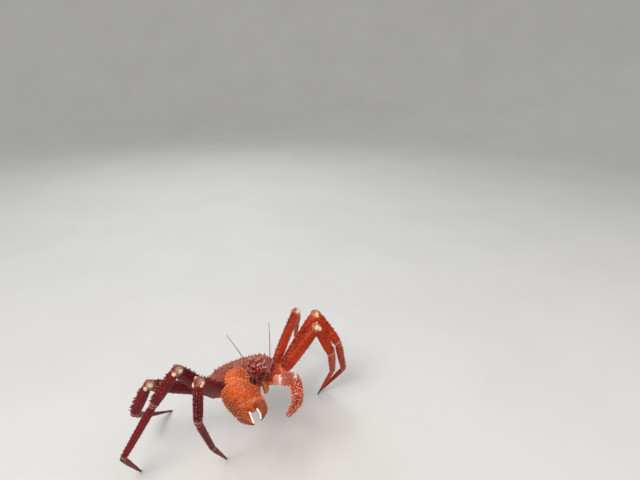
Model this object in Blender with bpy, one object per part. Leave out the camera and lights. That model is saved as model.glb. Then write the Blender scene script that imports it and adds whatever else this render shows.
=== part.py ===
"""King crab: a still, life-size model in a standing pose.

The crab faces -Y with +Z up, and its six feet stand on z = 0. Sizes are in millimetres and
angles in degrees; a mesh is turned into metres when its object is made. Places on the body are
given in its own axes: anterior (towards the nose), left and dorsal (towards the back).
"""
import math
import random

import bmesh
import bpy
from mathutils import Vector

MM = 0.001
GAP = 0.3                          # clearance between pieces that meet
CLEAR = 1.5 * GAP                  # how far a shape is grown before it cuts its neighbour
SIDES = {"right": -1.0, "left": 1.0}
SEED = 11

# Stance of the body
BODY_AT = Vector((4.2, -18.4, 166.0))
NOSE_UP = 25.0

# Body, as (anterior, half width, height) stations
MARGIN = -12.0                     # dorsal level of the carapace's lower rim
CARAPACE = ((-68, 16, 4), (-65, 36, 9), (-57, 52, 15), (-42, 62, 20), (-22, 65, 23), (-2, 59, 25),
            (18, 49, 26), (36, 38, 24), (52, 29, 21), (62, 24, 18), (70, 20, 15))
THORAX = ((-58, 20, 14), (-50, 38, 24), (-30, 48, 31), (-4, 46, 33), (20, 38, 31), (42, 30, 27),
          (62, 22, 20))
FRONT = 70.0                       # flat front of the carapace
MOUTH = 62.0                       # flat front of the thorax
CORNER = 0.78                      # how square the carapace's cross section is

# Thorns of the carapace, and where those of its rim stand between the legs
THORN_STEP = 12.0
THORN_LENGTH = 6.0
THORN_RADIUS = 2.1
RIM_THORNS = (-55, -46, -11, 24, 50)

# Large thorns of the brow: anterior, left, length and lean forwards
BROW_THORNS = ((31, 12, 11, 0.3), (34, 27, 11, 0.3), (42, 0, 13, 0.4), (44, 17, 13, 0.5), (52, 8, 14, 0.6),
               (55, 20, 13, 0.7), (62, 4, 13, 0.9), (62, 14, 13, 0.9))

# Thorns of the rostrum: place along it, angle, lean forwards and length
ROSTRUM_THORNS = ((0.35, 60, 0.7, 13), (0.4, 120, 0.7, 13), (0.6, 90, 0.9, 15), (0.6, 15, 1.0, 12),
                  (0.6, 165, 1.0, 12), (0.85, 50, 1.3, 11), (0.85, 130, 1.3, 11), (0.95, 90, 4.0, 12))

# Spines of the limbs, in rows: angle from the side towards up, count, first and last place along
# the segment, length and radius
LEG_SPINES = {
    "merus": ((90, 6, 0.14, 0.86, 5.5, 1.9), (40, 4, 0.15, 0.85, 3.5, 1.7), (140, 4, 0.15, 0.85, 3.5, 1.7),
              (270, 3, 0.2, 0.8, 3.5, 1.7)),
    "carpus": ((90, 4, 0.22, 0.84, 6.0, 1.9), (40, 2, 0.25, 0.8, 4.5, 1.7), (140, 3, 0.25, 0.8, 4.5, 1.7)),
    "propodus": ((90, 4, 0.15, 0.85, 3.6, 1.5), (30, 2, 0.2, 0.8, 2.8, 1.4), (150, 3, 0.2, 0.8, 2.8, 1.4)),
}
ARM_SPINES = {
    "merus": ((90, 2, 0.4, 0.8, 4.0, 1.8), (150, 2, 0.4, 0.8, 4.0, 1.8)),
    "carpus": ((30, 2, 0.3, 0.8, 4.0, 1.8), (75, 3, 0.3, 0.8, 4.5, 1.9), (120, 3, 0.3, 0.8, 4.5, 1.9),
               (165, 2, 0.3, 0.8, 4.0, 1.8)),
}
KNOB = 4.0                         # radius of the condyles beside each knee
KNOB_ANGLES = (28, 152)

# Walking legs: where each merus starts on the body, the lengths of its four long segments, and
# the azimuth and elevation of merus, carpus and propodus, then the azimuth of the dactyl
LEG_BASE = {"front": (42, 62, -25), "middle": (8, 75, -27), "rear": (-28, 72, -27)}
LEG_ROOT = {"front": (28, 24, -35), "middle": (4, 26, -36), "rear": (-22, 26, -35)}
LEG_LENGTH = {"front": (112, 72, 106, 90), "middle": (134, 80, 120, 99), "rear": (133, 74, 112, 94)}
LEG_POSE = {
    ("front", "right"): ((-140, 47), (-128, -75), (47, -67), 45),
    ("middle", "right"): ((-151, 53), (161, -56), (171, -57), 56),
    ("rear", "right"): ((-174, 30), (149, -63), (67, -43), 42),
    ("front", "left"): ((5, 41), (-34, -65), (55, -56), 118),
    ("middle", "left"): ((4, 50), (-55, -50), (44, -61), 123),
    ("rear", "left"): ((35, 36), (60, -48), (66, -52), 60),
}

# Claw arms: the same for merus, carpus, palm and finger
ARM_BASE = (62, 33, -30)
ARM_ROOT = (50, 20, -30)
ARM_LENGTH = {"right": (56, 36, 73, 26), "left": (52, 32, 46, 48)}
ARM_POSE = {
    "right": ((-132, 78), (-117, -1), (-93, -3), (-93, -3)),
    "left": ((-103, 38), (-23, -2), (-114, -9), (-146, -12)),
}

# Segment profiles: fraction of the length, half width across and half height, then offsets
COXA = ((0, 10, 11), (0.6, 10, 12), (1, 9, 11))
MERUS = ((0, 8, 10), (0.25, 9, 12.5), (0.6, 9, 12.5), (0.9, 8.5, 11), (1, 8, 10))
CARPUS = ((0, 6.8, 7.8), (0.3, 8.3, 9.5), (0.75, 8.3, 9.8), (1, 6.8, 8))
ARM_COXA = ((0, 8, 8.5), (1, 8, 8.5))
ARM_MERUS = ((0, 7.5, 8), (0.5, 9, 10), (1, 8, 9))
ARM_CARPUS = {
    "right": ((0, 12, 10), (0.35, 18.5, 12.5), (0.75, 20, 13), (1, 16.5, 11)),
    "left": ((0, 8, 8.5), (0.5, 11, 12), (1, 9, 10)),
}
PROPODUS = ((0, 5.5, 6.5), (0.15, 6, 7.5), (0.7, 5.2, 6.5), (1, 4.8, 5.6))
DACTYL = ((0, 4.2, 5), (0.15, 4.4, 5.4), (0.6, 3, 3.8), (0.88, 1.9, 2.3), (1, 1.6, 1.9))

# Claws: fraction of the palm's length, half width, half thickness, and how far the middle lies
# towards the other claw. The fixed finger goes on from the palm's outer half.
HINGE = {"right": 0.86, "left": 0.97}
PALM = {
    "right": ((0, 18.5, 11, -7.5), (0.1, 22.5, 14.5, -7.5), (0.28, 27, 17.5, -5), (0.45, 29, 18, -2),
              (0.65, 27.5, 17, -1.2), (0.78, 26.7, 14.5, 0.2), (HINGE["right"], 26, 12, 0.7)),
    "left": ((0, 7.5, 7.5, 0), (0.3, 10.5, 9.5, 0), (0.8, 10.5, 9.5, 0), (HINGE["left"], 9.5, 8.5, 0.5)),
}
FIXED_FINGER = {
    "right": ((HINGE["right"], 12.2, 8.5, -12), (0.93, 12, 11, -12), (1.02, 10.6, 10.4, -11.8),
              (1.1, 8.4, 8.6, -11), (1.19, 5.8, 6.4, -9.4), (1.33, 1.2, 1.4, -6)),
    "left": ((HINGE["left"], 4.2, 4.8, -4.3), (1.04, 4.7, 6, -3.8), (1.3, 4.6, 5.4, 0.2), (1.6, 3.8, 4.5, 8.7),
             (1.9, 2.3, 2.7, 18), (2.0, 0.9, 1.2, 21.5)),
}
MOVABLE_FINGER = {
    "right": ((HINGE["right"], 9.6, 10.5, 16.4), (0.95, 9.6, 10.5, 17), (1.04, 8.6, 9.4, 17.4),
              (1.13, 6.6, 7.6, 16.6), (1.21, 4.6, 5.4, 14.4), (1.31, 1.3, 1.6, 9)),
    "left": ((HINGE["left"], 4.4, 6, 4.9), (1.3, 4.2, 5.2, 9.4), (1.6, 3.2, 4.2, 16), (1.85, 2.0, 2.4, 22.5),
             (1.98, 0.9, 1.2, 25.5)),
}
CLAW_ROLL = {"right": 12, "left": 22}  # how far the finger's edge of the palm is turned up

# Grains of the claws: place along, first and last angle round, count and length
PALM_SPINES = {
    "right": ((0.17, 5, 215, 8, 4), (0.3, -10, 225, 9, 4.2), (0.43, -5, 220, 9, 4.2),
              (0.56, -10, 225, 9, 4.2), (0.68, 0, 215, 8, 4.0), (0.79, -5, 215, 7, 3.8),
              (0.5, 245, 330, 3, 3.6)),
    "left": ((0.3, -20, 200, 5, 3.6), (0.55, -20, 200, 4, 3.6), (0.8, -20, 200, 5, 3.6)),
}
FINGER_SPINES = {
    "right": ((0.97, 100, 220, 4, 3.4), (1.11, 90, 210, 3, 3.0)),
    "left": ((1.15, 80, 200, 2, 3.0), (1.4, 90, 200, 2, 2.8)),
}
MOVABLE_SPINES = {
    "right": ((0.98, -30, 80, 3, 3.2), (1.11, -20, 70, 2, 2.8)),
    "left": ((1.15, -30, 80, 2, 2.8), (1.4, -20, 70, 2, 2.6)),
}

COLOURS = {
    "shell": (0.62, 0.13, 0.07, 1.0),
    "leg": (0.50, 0.07, 0.04, 1.0),
    "claw": (0.80, 0.20, 0.06, 1.0),
    "underside": (0.72, 0.42, 0.28, 1.0),
    "eye": (0.02, 0.015, 0.012, 1.0),
    "feeler": (0.42, 0.08, 0.06, 1.0),
}


def direction(azimuth, elevation):
    """A unit vector from an azimuth, counted from +X, and an elevation."""
    az, el = math.radians(azimuth), math.radians(elevation)
    return Vector((math.cos(az) * math.cos(el), math.sin(az) * math.cos(el), math.sin(el)))


ANTERIOR = direction(-90, NOSE_UP)
LEFT = Vector((1.0, 0.0, 0.0))
DORSAL = direction(90, 90 - NOSE_UP)


def on_body(anterior, left, dorsal):
    """A place given in the body's axes."""
    return BODY_AT + ANTERIOR * anterior + LEFT * left + DORSAL * dorsal


def spline(table, x):
    """The values at x on smooth curves through a table whose first column rises."""
    x = min(max(x, table[0][0]), table[-1][0])
    i = 0
    while i < len(table) - 2 and table[i + 1][0] < x:
        i += 1
    low, high = table[i], table[i + 1]
    before, after = table[max(i - 1, 0)], table[min(i + 2, len(table) - 1)]
    span = high[0] - low[0]
    t = (x - low[0]) / span
    values = []
    for k in range(1, len(low)):
        rise_low = (high[k] - before[k]) / (high[0] - before[0]) * span
        rise_high = (after[k] - low[k]) / (after[0] - low[0]) * span
        values.append((2 * t**3 - 3 * t**2 + 1) * low[k] + (t**3 - 2 * t**2 + t) * rise_low
                      + (3 * t**2 - 2 * t**3) * high[k] + (t**3 - t**2) * rise_high)
    return values


def loft(rings):
    """A closed mesh through rings of points; a ring of one point is a tip."""
    bm = bmesh.new()
    rows = [[bm.verts.new(point) for point in ring] for ring in rings]
    for low, high in zip(rows, rows[1:]):
        count = max(len(low), len(high))
        for i in range(count):
            j = (i + 1) % count
            if len(low) == 1:
                bm.faces.new((low[0], high[j], high[i]))
            elif len(high) == 1:
                bm.faces.new((low[i], low[j], high[0]))
            else:
                bm.faces.new((low[i], low[j], high[j], high[i]))
    for row in (rows[0], rows[-1]):
        if len(row) > 1:
            bm.faces.new(row)
    bmesh.ops.recalc_face_normals(bm, faces=bm.faces)
    return bm


def cut(bm, point, normal):
    """Cuts a closed mesh with a plane, drops what lies on the normal's side and caps the rest."""
    geometry = bm.verts[:] + bm.edges[:] + bm.faces[:]
    bmesh.ops.bisect_plane(bm, geom=geometry, dist=1e-5, plane_co=point, plane_no=normal,
                           clear_outer=True)
    rim = [edge for edge in bm.edges if edge.is_boundary]
    bmesh.ops.holes_fill(bm, edges=rim, sides=0)
    bmesh.ops.recalc_face_normals(bm, faces=bm.faces)
    return bm


def temporary(bm, name="piece"):
    """A scene object that holds a mesh while it is being combined."""
    mesh = bpy.data.meshes.new(name)
    bm.to_mesh(mesh)
    bm.free()
    obj = bpy.data.objects.new(name, mesh)
    bpy.context.scene.collection.objects.link(obj)
    return obj


def combine(bm, others, operation):
    """The union of a mesh with the others, or its difference from them, as one mesh."""
    if not others:
        return bm
    base = temporary(bm, "base")
    group = bpy.data.collections.new("group")
    bpy.context.scene.collection.children.link(group)
    pieces = []
    for other in others:
        piece = temporary(other)
        bpy.context.scene.collection.objects.unlink(piece)
        group.objects.link(piece)
        pieces.append(piece)
    boolean = base.modifiers.new("combine", "BOOLEAN")
    boolean.operation = operation
    boolean.operand_type = "COLLECTION"
    boolean.collection = group
    boolean.solver = "EXACT"
    depsgraph = bpy.context.evaluated_depsgraph_get()
    result = bmesh.new()
    result.from_mesh(base.evaluated_get(depsgraph).to_mesh())
    for obj in pieces + [base]:
        mesh = obj.data
        bpy.data.objects.remove(obj)
        bpy.data.meshes.remove(mesh)
    bpy.data.collections.remove(group)
    return largest(result)


def fuse(bm, others):
    return combine(bm, others, "UNION")


def carve(bm, others):
    return combine(bm, others, "DIFFERENCE")


def largest(bm):
    """Keeps only the closed surface that spans the most."""
    left = set(bm.verts)
    groups = []
    while left:
        seed = left.pop()
        group, stack = {seed}, [seed]
        while stack:
            for edge in stack.pop().link_edges:
                for vert in edge.verts:
                    if vert in left:
                        left.remove(vert)
                        group.add(vert)
                        stack.append(vert)
        groups.append(group)

    def span(group):
        low = Vector([min(vert.co[k] for vert in group) for k in range(3)])
        high = Vector([max(vert.co[k] for vert in group) for k in range(3)])
        return (high - low).length

    keep = max(groups, key=span)
    bmesh.ops.delete(bm, geom=[vert for vert in bm.verts if vert not in keep], context="VERTS")
    return bm


def spike(root, outward, length, radius, sides=4):
    """A spine that tapers to a point, with its root sunk under the surface it grows from."""
    outward = outward.normalized()
    side = outward.orthogonal().normalized()
    up = outward.cross(side)
    foot = root - outward * (0.45 * length)
    ring = [foot + (side * math.cos(turn) + up * math.sin(turn)) * (1.3 * radius)
            for turn in (2 * math.pi * (k + rng.random()) / sides for k in range(sides))]
    ring.sort(key=lambda point: math.atan2((point - foot).dot(up), (point - foot).dot(side)))
    return loft([ring, [root + outward * length]])


def knob(centre, radius):
    """A round condyle beside a joint."""
    bm = bmesh.new()
    bmesh.ops.create_icosphere(bm, subdivisions=1, radius=radius)
    bmesh.ops.translate(bm, vec=centre, verts=bm.verts)
    return bm


def spines_on(limb, rows):
    """Spines in rows along a limb: angle, count, first and last place, length and radius."""
    made = []
    for angle, count, first, last, length, radius in rows:
        for i in range(count):
            t = first + (last - first) * (i + rng.uniform(0.25, 0.75)) / count
            turn = angle + rng.uniform(-7, 7)
            tall = length * rng.uniform(0.8, 1.2)
            made.append(spike(limb.point(t, turn), limb.outward(turn) + limb.axis * 0.35, tall, radius))
    return made


def material(slot):
    """One Principled material for each kind of surface."""
    found = bpy.data.materials.get(slot)
    if found:
        return found
    made = bpy.data.materials.new(slot)
    made.use_nodes = True
    shader = made.node_tree.nodes["Principled BSDF"]
    shader.inputs["Base Color"].default_value = COLOURS[slot]
    shader.inputs["Roughness"].default_value = 0.25 if slot == "eye" else 0.5
    made.diffuse_color = COLOURS[slot]
    return made


def add(name, bm, origin, slot, parent):
    """Makes a named object from a mesh in millimetres, with its origin where it is hinged."""
    bmesh.ops.translate(bm, vec=-origin, verts=bm.verts)
    bmesh.ops.scale(bm, vec=(MM, MM, MM), verts=bm.verts)
    mesh = bpy.data.meshes.new(name)
    bm.to_mesh(mesh)
    bm.free()
    mesh.materials.append(material(slot))
    obj = bpy.data.objects.new(name, mesh)
    obj.location = origin * MM
    obj.parent = parent
    bpy.context.scene.collection.objects.link(obj)
    return obj


class Limb:
    """A tapering piece between two joints, with an oval section set by a profile."""

    def __init__(self, start, end, side, profile):
        self.start, self.end = start, end
        self.length = (end - start).length
        self.axis = (end - start).normalized()
        self.side = (side - self.axis * side.dot(self.axis)).normalized()
        self.up = self.axis.cross(self.side)
        self.profile = profile

    def point(self, t, angle, swell=1.0):
        """The surface at a fraction of the length and an angle from the side towards up."""
        values = spline(self.profile, t) + [0.0, 0.0]
        wide, high, aside, above = values[:4]
        turn = math.radians(angle)
        return (self.start + self.axis * (self.length * t)
                + self.side * (aside + wide * swell * math.cos(turn))
                + self.up * (above + high * swell * math.sin(turn)))

    def outward(self, angle):
        """The way the surface faces, near enough for a spine."""
        turn = math.radians(angle)
        return self.side * math.cos(turn) + self.up * math.sin(turn)

    def rings(self, count, sides, first=0.0, last=0.0):
        """Rings from joint to joint; first and last are how far a rounded end runs past each."""
        places = [(i / (count - 1), 1.0) for i in range(count)]
        if first:
            places = [(-first / self.length, 0.4), (-0.6 * first / self.length, 0.8)] + places
        if last:
            places += [(1 + 0.6 * last / self.length, 0.8), (1 + last / self.length, 0.4)]
        return [[self.point(t, 360.0 * (k + 0.5) / sides, swell) for k in range(sides)]
                for t, swell in places]


def mitre(bm, joint, before, after, first_piece):
    """Cuts a piece where it meets its neighbour at a bent joint, on the plane between them."""
    plane = (before + after).normalized()
    if first_piece:
        return cut(bm, joint - plane * (GAP / 2), plane)
    return cut(bm, joint + plane * (GAP / 2), -plane)


def shell_rings(stations, count, arc_points, level, dome=1.0):
    """Cross sections of the body: an arch over a flat face, from back to front."""
    start, end = stations[0][0], stations[-1][0]
    rings = []
    for i in range(count):
        # stations lie closer together towards both ends
        share = 0.5 - 0.5 * math.cos(math.pi * i / (count - 1))
        anterior = start + (end - start) * share
        half, height = spline(stations, anterior)
        ring = []
        for k in range(arc_points):
            turn = math.pi * k / (arc_points - 1)
            across = math.copysign(abs(math.cos(turn)) ** CORNER, math.cos(turn))
            rise = math.sin(turn) ** CORNER if 0 < k < arc_points - 1 else 0.0
            ring.append(on_body(anterior, half * across, level + dome * height * rise))
        rings.append(ring)
    return rings


def thorax_mesh(grow=0.0):
    """The solid of the breast and belly, under the carapace; grown, it cuts clearances."""
    bm = loft(shell_rings(THORAX, 9, 9, MARGIN - GAP, dome=-1.0))
    bm.normal_update()
    places = [vert.co + vert.normal * grow for vert in bm.verts]
    for vert, place in zip(bm.verts, places):
        vert.co = place
    return bm


def tube(points, radii, sides):
    """A closed round tube through points, one radius at each."""
    rings = []
    side = None
    for i, (point, radius) in enumerate(zip(points, radii)):
        ahead = points[min(i + 1, len(points) - 1)]
        behind = points[max(i - 1, 0)]
        axis = (ahead - behind).normalized()
        if side is None:
            side = axis.orthogonal().normalized()
        side = (side - axis * side.dot(axis)).normalized()
        up = axis.cross(side)
        rings.append([point + (side * math.cos(turn) + up * math.sin(turn)) * radius
                      for turn in (2 * math.pi * k / sides for k in range(sides))])
    return loft(rings)


def shell_point(anterior, left):
    """The top of the carapace over a place in its plan."""
    half, height = spline(CARAPACE, anterior)
    turn = math.acos(min(1.0, abs(left) / half) ** (1 / CORNER))
    return on_body(anterior, left, MARGIN + height * math.sin(turn) ** CORNER)


def carapace_spines():
    """Thorns all over the back, longer towards the nose, and a row of stouter ones on the rim."""
    made = []
    step = THORN_STEP
    rows = int((CARAPACE[-1][0] - CARAPACE[0][0]) / step)
    for row in range(1, rows):
        anterior = CARAPACE[0][0] + (row + 0.3) * step
        if anterior > BROW_THORNS[0][0] - 3:
            break
        half = 0.84 * spline(CARAPACE, anterior)[0]
        count = max(2, round(2 * half / step) + row % 2)
        for k in range(count):
            left = half * (2 * (k + 0.5) / count - 1) + rng.uniform(-2, 2)
            place = anterior + rng.uniform(-2, 2)
            top = shell_point(place, left)
            across = shell_point(place, left + 1) - shell_point(place, left - 1)
            along = shell_point(min(place + 1, FRONT), left) - shell_point(place - 1, left)
            outward = along.cross(across)
            if outward.dot(DORSAL) < 0:
                outward = -outward
            length = THORN_LENGTH * rng.uniform(0.75, 1.25)
            made.append(spike(top, outward.normalized() + ANTERIOR * 0.25, length, THORN_RADIUS))
    for anterior, left, length, lean in BROW_THORNS:
        for sign in (SIDES.values() if left else (1.0,)):
            top = shell_point(anterior, sign * left)
            outward = DORSAL + LEFT * (0.012 * sign * left) + ANTERIOR * lean
            made.append(spike(top, outward, length * rng.uniform(0.9, 1.1), 2.4))
    for sign in SIDES.values():
        for anterior in RIM_THORNS:
            half = spline(CARAPACE, anterior)[0]
            ahead = spline(CARAPACE, anterior + 1)[0]
            outward = LEFT * sign + ANTERIOR * (half - ahead) + DORSAL * 0.2
            root = on_body(anterior, sign * 0.97 * half, MARGIN + 5)
            made.append(spike(root, outward, 1.4 * THORN_LENGTH, 1.15 * THORN_RADIUS))
    return made


def make_body(parent):
    shell = fuse(loft(shell_rings(CARAPACE, 15, 15, MARGIN)), carapace_spines())
    add("carapace", shell, on_body(0, 0, MARGIN), "shell", parent)
    add("thorax", thorax_mesh(), on_body(0, 0, MARGIN), "underside", parent)

    # The abdomen is a flap that turns under the thorax from behind
    path = ((-63, -11, 28, 9), (-65, -24, 36, 11), (-60.5, -39.5, 38, 11.5), (-44, -48.5, 34, 8.5),
            (-18, -51, 28, 7), (6, -50, 19, 5), (20, -47, 8, 3))
    rings = []
    for i, (anterior, dorsal, half, thick) in enumerate(path):
        ahead, behind = path[min(i + 1, len(path) - 1)], path[max(i - 1, 0)]
        axis = (ANTERIOR * (ahead[0] - behind[0]) + DORSAL * (ahead[1] - behind[1])).normalized()
        out = axis.cross(LEFT)
        centre = on_body(anterior, 0, dorsal)
        rings.append([centre + LEFT * (half * math.cos(turn)) + out * (thick * math.sin(turn))
                      for turn in (2 * math.pi * (k + 0.5) / 12 for k in range(12))])
    flap = carve(loft(rings), [thorax_mesh(CLEAR)])
    cut(flap, on_body(0, 0, MARGIN - GAP), DORSAL)
    add("abdomen", largest(flap), on_body(-60, 0, -30), "underside", parent)


def make_face(parent):
    """The rostrum, eyes, both pairs of feelers and the mouth's outer limbs."""
    beak = Limb(on_body(FRONT - 4, 0, -1), on_body(FRONT + 24, 0, 4), LEFT,
                ((0, 9.5, 6.5), (0.4, 8.5, 6), (1, 3, 2.5)))
    thorns = [spike(beak.point(t, angle, 0.9), beak.outward(angle) + beak.axis * lean, length, 2.4)
              for t, angle, lean, length in ROSTRUM_THORNS]
    rostrum = cut(fuse(loft(beak.rings(5, 8)), thorns), on_body(FRONT + GAP, 0, 0), -ANTERIOR)
    add("rostrum", largest(rostrum), on_body(FRONT, 0, 0), "shell", parent)
    for side, sign in SIDES.items():
        stalk = [on_body(FRONT + GAP + forward, sign * (14.5 + outward), -6.5)
                 for forward, outward in ((0, 0), (6, 0), (7.5, 0.5), (10, 1), (12.5, 1.5), (14, 2))]
        add("eye_" + side, tube(stalk, (2.4, 2.4, 3.2, 3.8, 3.0, 1.2), 10), stalk[0], "eye", parent)
        feeler = [on_body(MOUTH + GAP, sign * 18, -18), on_body(MOUTH + 12, sign * 18, -18),
                  on_body(MOUTH + 21, sign * 18, -15), on_body(MOUTH + 29, sign * 18, -3),
                  on_body(MOUTH + 32, sign * 22, 18), on_body(MOUTH + 28, sign * 31, 50),
                  on_body(MOUTH + 14, sign * 43, 84)]
        add("antenna_" + side, tube(feeler, (3.2, 3.0, 2.2, 1.2, 0.9, 0.7, 0.5), 8), feeler[0],
            "feeler", parent)
        small = [on_body(MOUTH + GAP, sign * 7, -17), on_body(MOUTH + 14, sign * 7, -17),
                 on_body(MOUTH + 28, sign * 9, -8), on_body(MOUTH + 33, sign * 10, 2)]
        add("antennule_" + side, tube(small, (2.2, 1.8, 1.2, 0.6), 6), small[0], "feeler", parent)
        palp = [on_body(MOUTH + GAP, sign * 8.5, -25.5), on_body(MOUTH + 9, sign * 8.5, -25.5),
                on_body(MOUTH + 15, sign * 8.5, -31), on_body(MOUTH + 14, sign * 8, -38),
                on_body(MOUTH + 7, sign * 7.5, -44)]
        add("maxilliped_" + side, tube(palp, (4.8, 6.2, 6.4, 5.2, 2.4), 8), palp[0], "underside", parent)


def joints_of(start, turns, lengths):
    """The joints along a limb, from where it starts."""
    joints = [start]
    for (azimuth, elevation), length in zip(turns, lengths):
        joints.append(joints[-1] + direction(azimuth, elevation) * length)
    return joints


def carried_side(limb_side, before, after):
    """The sideways axis of the next segment, turned with the bend between the two."""
    return before.rotation_difference(after) @ limb_side


def make_leg(place, side, parent):
    sign = SIDES[side]
    name = "leg_%s_%s_" % (place, side)
    anterior, left, dorsal = LEG_BASE[place]
    base = on_body(anterior, sign * left, dorsal)
    root_anterior, root_left, root_dorsal = LEG_ROOT[place]
    root = on_body(root_anterior, sign * root_left, root_dorsal)
    *turns, foot_azimuth = LEG_POSE[place, side]
    joints = joints_of(base, turns, LEG_LENGTH[place])
    reach = LEG_LENGTH[place][3]
    drop = math.degrees(math.asin(joints[3].z / reach))
    joints.append(joints[3] + direction(foot_azimuth, -drop) * reach)
    joints.insert(0, root)
    across = Vector((0, 0, 1)).cross(joints[1] - joints[0]).normalized()
    parts = (("coxa", COXA, 4), ("merus", MERUS, 8), ("carpus", CARPUS, 6), ("propodus", PROPODUS, 7),
             ("dactyl", DACTYL, 8))
    axes = [(b - a).normalized() for a, b in zip(joints, joints[1:])]
    for i, (part, profile, count) in enumerate(parts):
        if i:
            across = carried_side(across, axes[i - 1], axes[i])
        last = i == len(parts) - 1
        limb = Limb(joints[i], joints[i + 1], across, profile)
        first_run = 0.0 if i == 0 else 0.8 * profile[0][2]
        last_run = 4.0 if last else 0.8 * profile[-1][2]
        extras = spines_on(limb, LEG_SPINES.get(part, ()))
        if part == "merus":
            extras += [knob(limb.point(1.0, angle, 0.9), KNOB) for angle in KNOB_ANGLES]
        if part == "carpus":
            extras += [knob(limb.point(0.03, angle, 0.9), KNOB) for angle in KNOB_ANGLES]
        bm = fuse(loft(limb.rings(count, 8, first_run, last_run)), extras)
        if i:
            mitre(bm, joints[i], axes[i - 1], axes[i], first_piece=False)
        if last:
            cut(bm, Vector((0, 0, 0)), Vector((0, 0, -1)))
        else:
            mitre(bm, joints[i + 1], axes[i], axes[i + 1], first_piece=True)
        if i == 0:
            bm = carve(bm, [thorax_mesh(CLEAR)])
            cut(bm, on_body(0, 0, MARGIN - GAP), DORSAL)
        add(name + part, largest(bm), joints[i], "leg", parent)


def make_arm(side, parent):
    """One claw arm: coxa, merus, carpus, palm with its fixed finger, and the movable finger."""
    sign = SIDES[side]
    base = on_body(ARM_BASE[0], sign * ARM_BASE[1], ARM_BASE[2])
    root = on_body(ARM_ROOT[0], sign * ARM_ROOT[1], ARM_ROOT[2])
    joints = [root] + joints_of(base, ARM_POSE[side], ARM_LENGTH[side])
    axes = [(b - a).normalized() for a, b in zip(joints, joints[1:])]
    across = Vector((0, 0, 1)).cross(axes[0]).normalized()
    parts = (("coxa", ARM_COXA, 3), ("merus", ARM_MERUS, 5), ("carpus", ARM_CARPUS[side], 5))
    for i, (part, profile, count) in enumerate(parts):
        if i:
            across = carried_side(across, axes[i - 1], axes[i])
        limb = Limb(joints[i], joints[i + 1], across, profile)
        first_run = 0.0 if i == 0 else 0.8 * profile[0][2]
        bm = loft(limb.rings(count, 8, first_run, 0.8 * profile[-1][2]))
        if not (side == "left" and part == "merus"):
            bm = fuse(bm, spines_on(limb, ARM_SPINES.get(part, ())))
        if i:
            mitre(bm, joints[i], axes[i - 1], axes[i], first_piece=False)
        mitre(bm, joints[i + 1], axes[i], axes[i + 1], first_piece=True)
        if i == 0:
            bm = carve(bm, [thorax_mesh(CLEAR)])
            cut(bm, on_body(0, 0, MARGIN - GAP), DORSAL)
        add("claw_%s_%s" % (side, part), largest(bm), joints[i], "claw", parent)
    make_claw(side, joints[3], joints[4], axes[2], parent)


def claw_rings(limb, profile, count, sides):
    """Rings of a palm or finger, whose profile runs on past the palm's own length."""
    rings = []
    first, last = profile[0][0], profile[-1][0]
    for i in range(count):
        t = first + (last - first) * i / (count - 1)
        wide, thick, aside = spline(profile, t)
        centre = limb.start + limb.axis * (limb.length * t) + limb.side * aside
        rings.append([centre + limb.side * (wide * math.cos(turn)) + limb.up * (thick * math.sin(turn))
                      for turn in (2 * math.pi * (k + 0.5) / sides for k in range(sides))])
    return rings


def claw_spines(limb, profile, rows):
    """Grains and thorns on a palm or finger: place along it, first and last angle, count, length."""
    made = []
    for t, low, high, count, length in rows:
        for k in range(count):
            place = t + rng.uniform(-0.025, 0.025)
            turn = math.radians(low + (high - low) * (k + 0.5) / count + rng.uniform(-5, 5))
            wide, thick, aside = spline(profile, place)
            outward = limb.side * (math.cos(turn) / wide) + limb.up * (math.sin(turn) / thick)
            top = (limb.start + limb.axis * (limb.length * place)
                   + limb.side * (aside + wide * math.cos(turn)) + limb.up * (thick * math.sin(turn)))
            tall = length * rng.uniform(0.8, 1.2)
            made.append(spike(top, outward.normalized() + limb.axis * 0.3, tall, 0.45 * length))
    return made


def make_claw(side, wrist, palm_end, before, parent):
    """The palm with its fixed finger as one piece, and the movable finger."""
    axis = (palm_end - wrist).normalized()
    inward = LEFT * -SIDES[side]
    level = (inward - axis * inward.dot(axis)).normalized()
    over = axis.cross(level)
    if over.z < 0:
        over = -over
    roll = math.radians(CLAW_ROLL[side])
    limb = Limb(wrist, palm_end, level * math.cos(roll) + over * math.sin(roll), PALM[side])
    sides = 12 if side == "right" else 8
    palm = claw_rings(limb, PALM[side], 6, sides)
    heel = [wrist + (point - wrist) * 0.6 - axis * 6 for point in palm[0]]
    thorns = claw_spines(limb, PALM[side], PALM_SPINES[side])
    thorns += claw_spines(limb, FIXED_FINGER[side], FINGER_SPINES[side])
    bm = fuse(loft([heel] + palm + claw_rings(limb, FIXED_FINGER[side], 7, sides)), thorns)
    mitre(bm, wrist, before, axis, first_piece=False)
    add("claw_%s_palm" % side, largest(bm), wrist, "claw", parent)
    hinge = wrist + axis * (HINGE[side] * limb.length)
    thorns = claw_spines(limb, MOVABLE_FINGER[side], MOVABLE_SPINES[side])
    finger = fuse(loft(claw_rings(limb, MOVABLE_FINGER[side], 7, sides)), thorns)
    cut(finger, hinge + axis * GAP, -axis)
    add("claw_%s_finger" % side, finger, hinge, "claw", parent)


rng = random.Random(SEED)


def clear_scene():
    for obj in list(bpy.data.objects):
        bpy.data.objects.remove(obj)


def main():
    clear_scene()
    crab = bpy.data.objects.new("crab", None)
    bpy.context.scene.collection.objects.link(crab)
    make_body(crab)
    make_face(crab)
    for side in SIDES:
        make_arm(side, crab)
        for place in LEG_BASE:
            make_leg(place, side, crab)


main()
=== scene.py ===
"""King crab: the detailed shell, feelers and eyes of a still model, with a floor, lights and camera.

Sizes are in millimetres and angles in degrees, and a mesh is turned into metres when its object is
made. Places on the body are given in its own axes: anterior (towards the nose), left and dorsal.
"""
import math
from types import SimpleNamespace

import bpy
import numpy as np
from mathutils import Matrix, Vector, kdtree, noise


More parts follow.
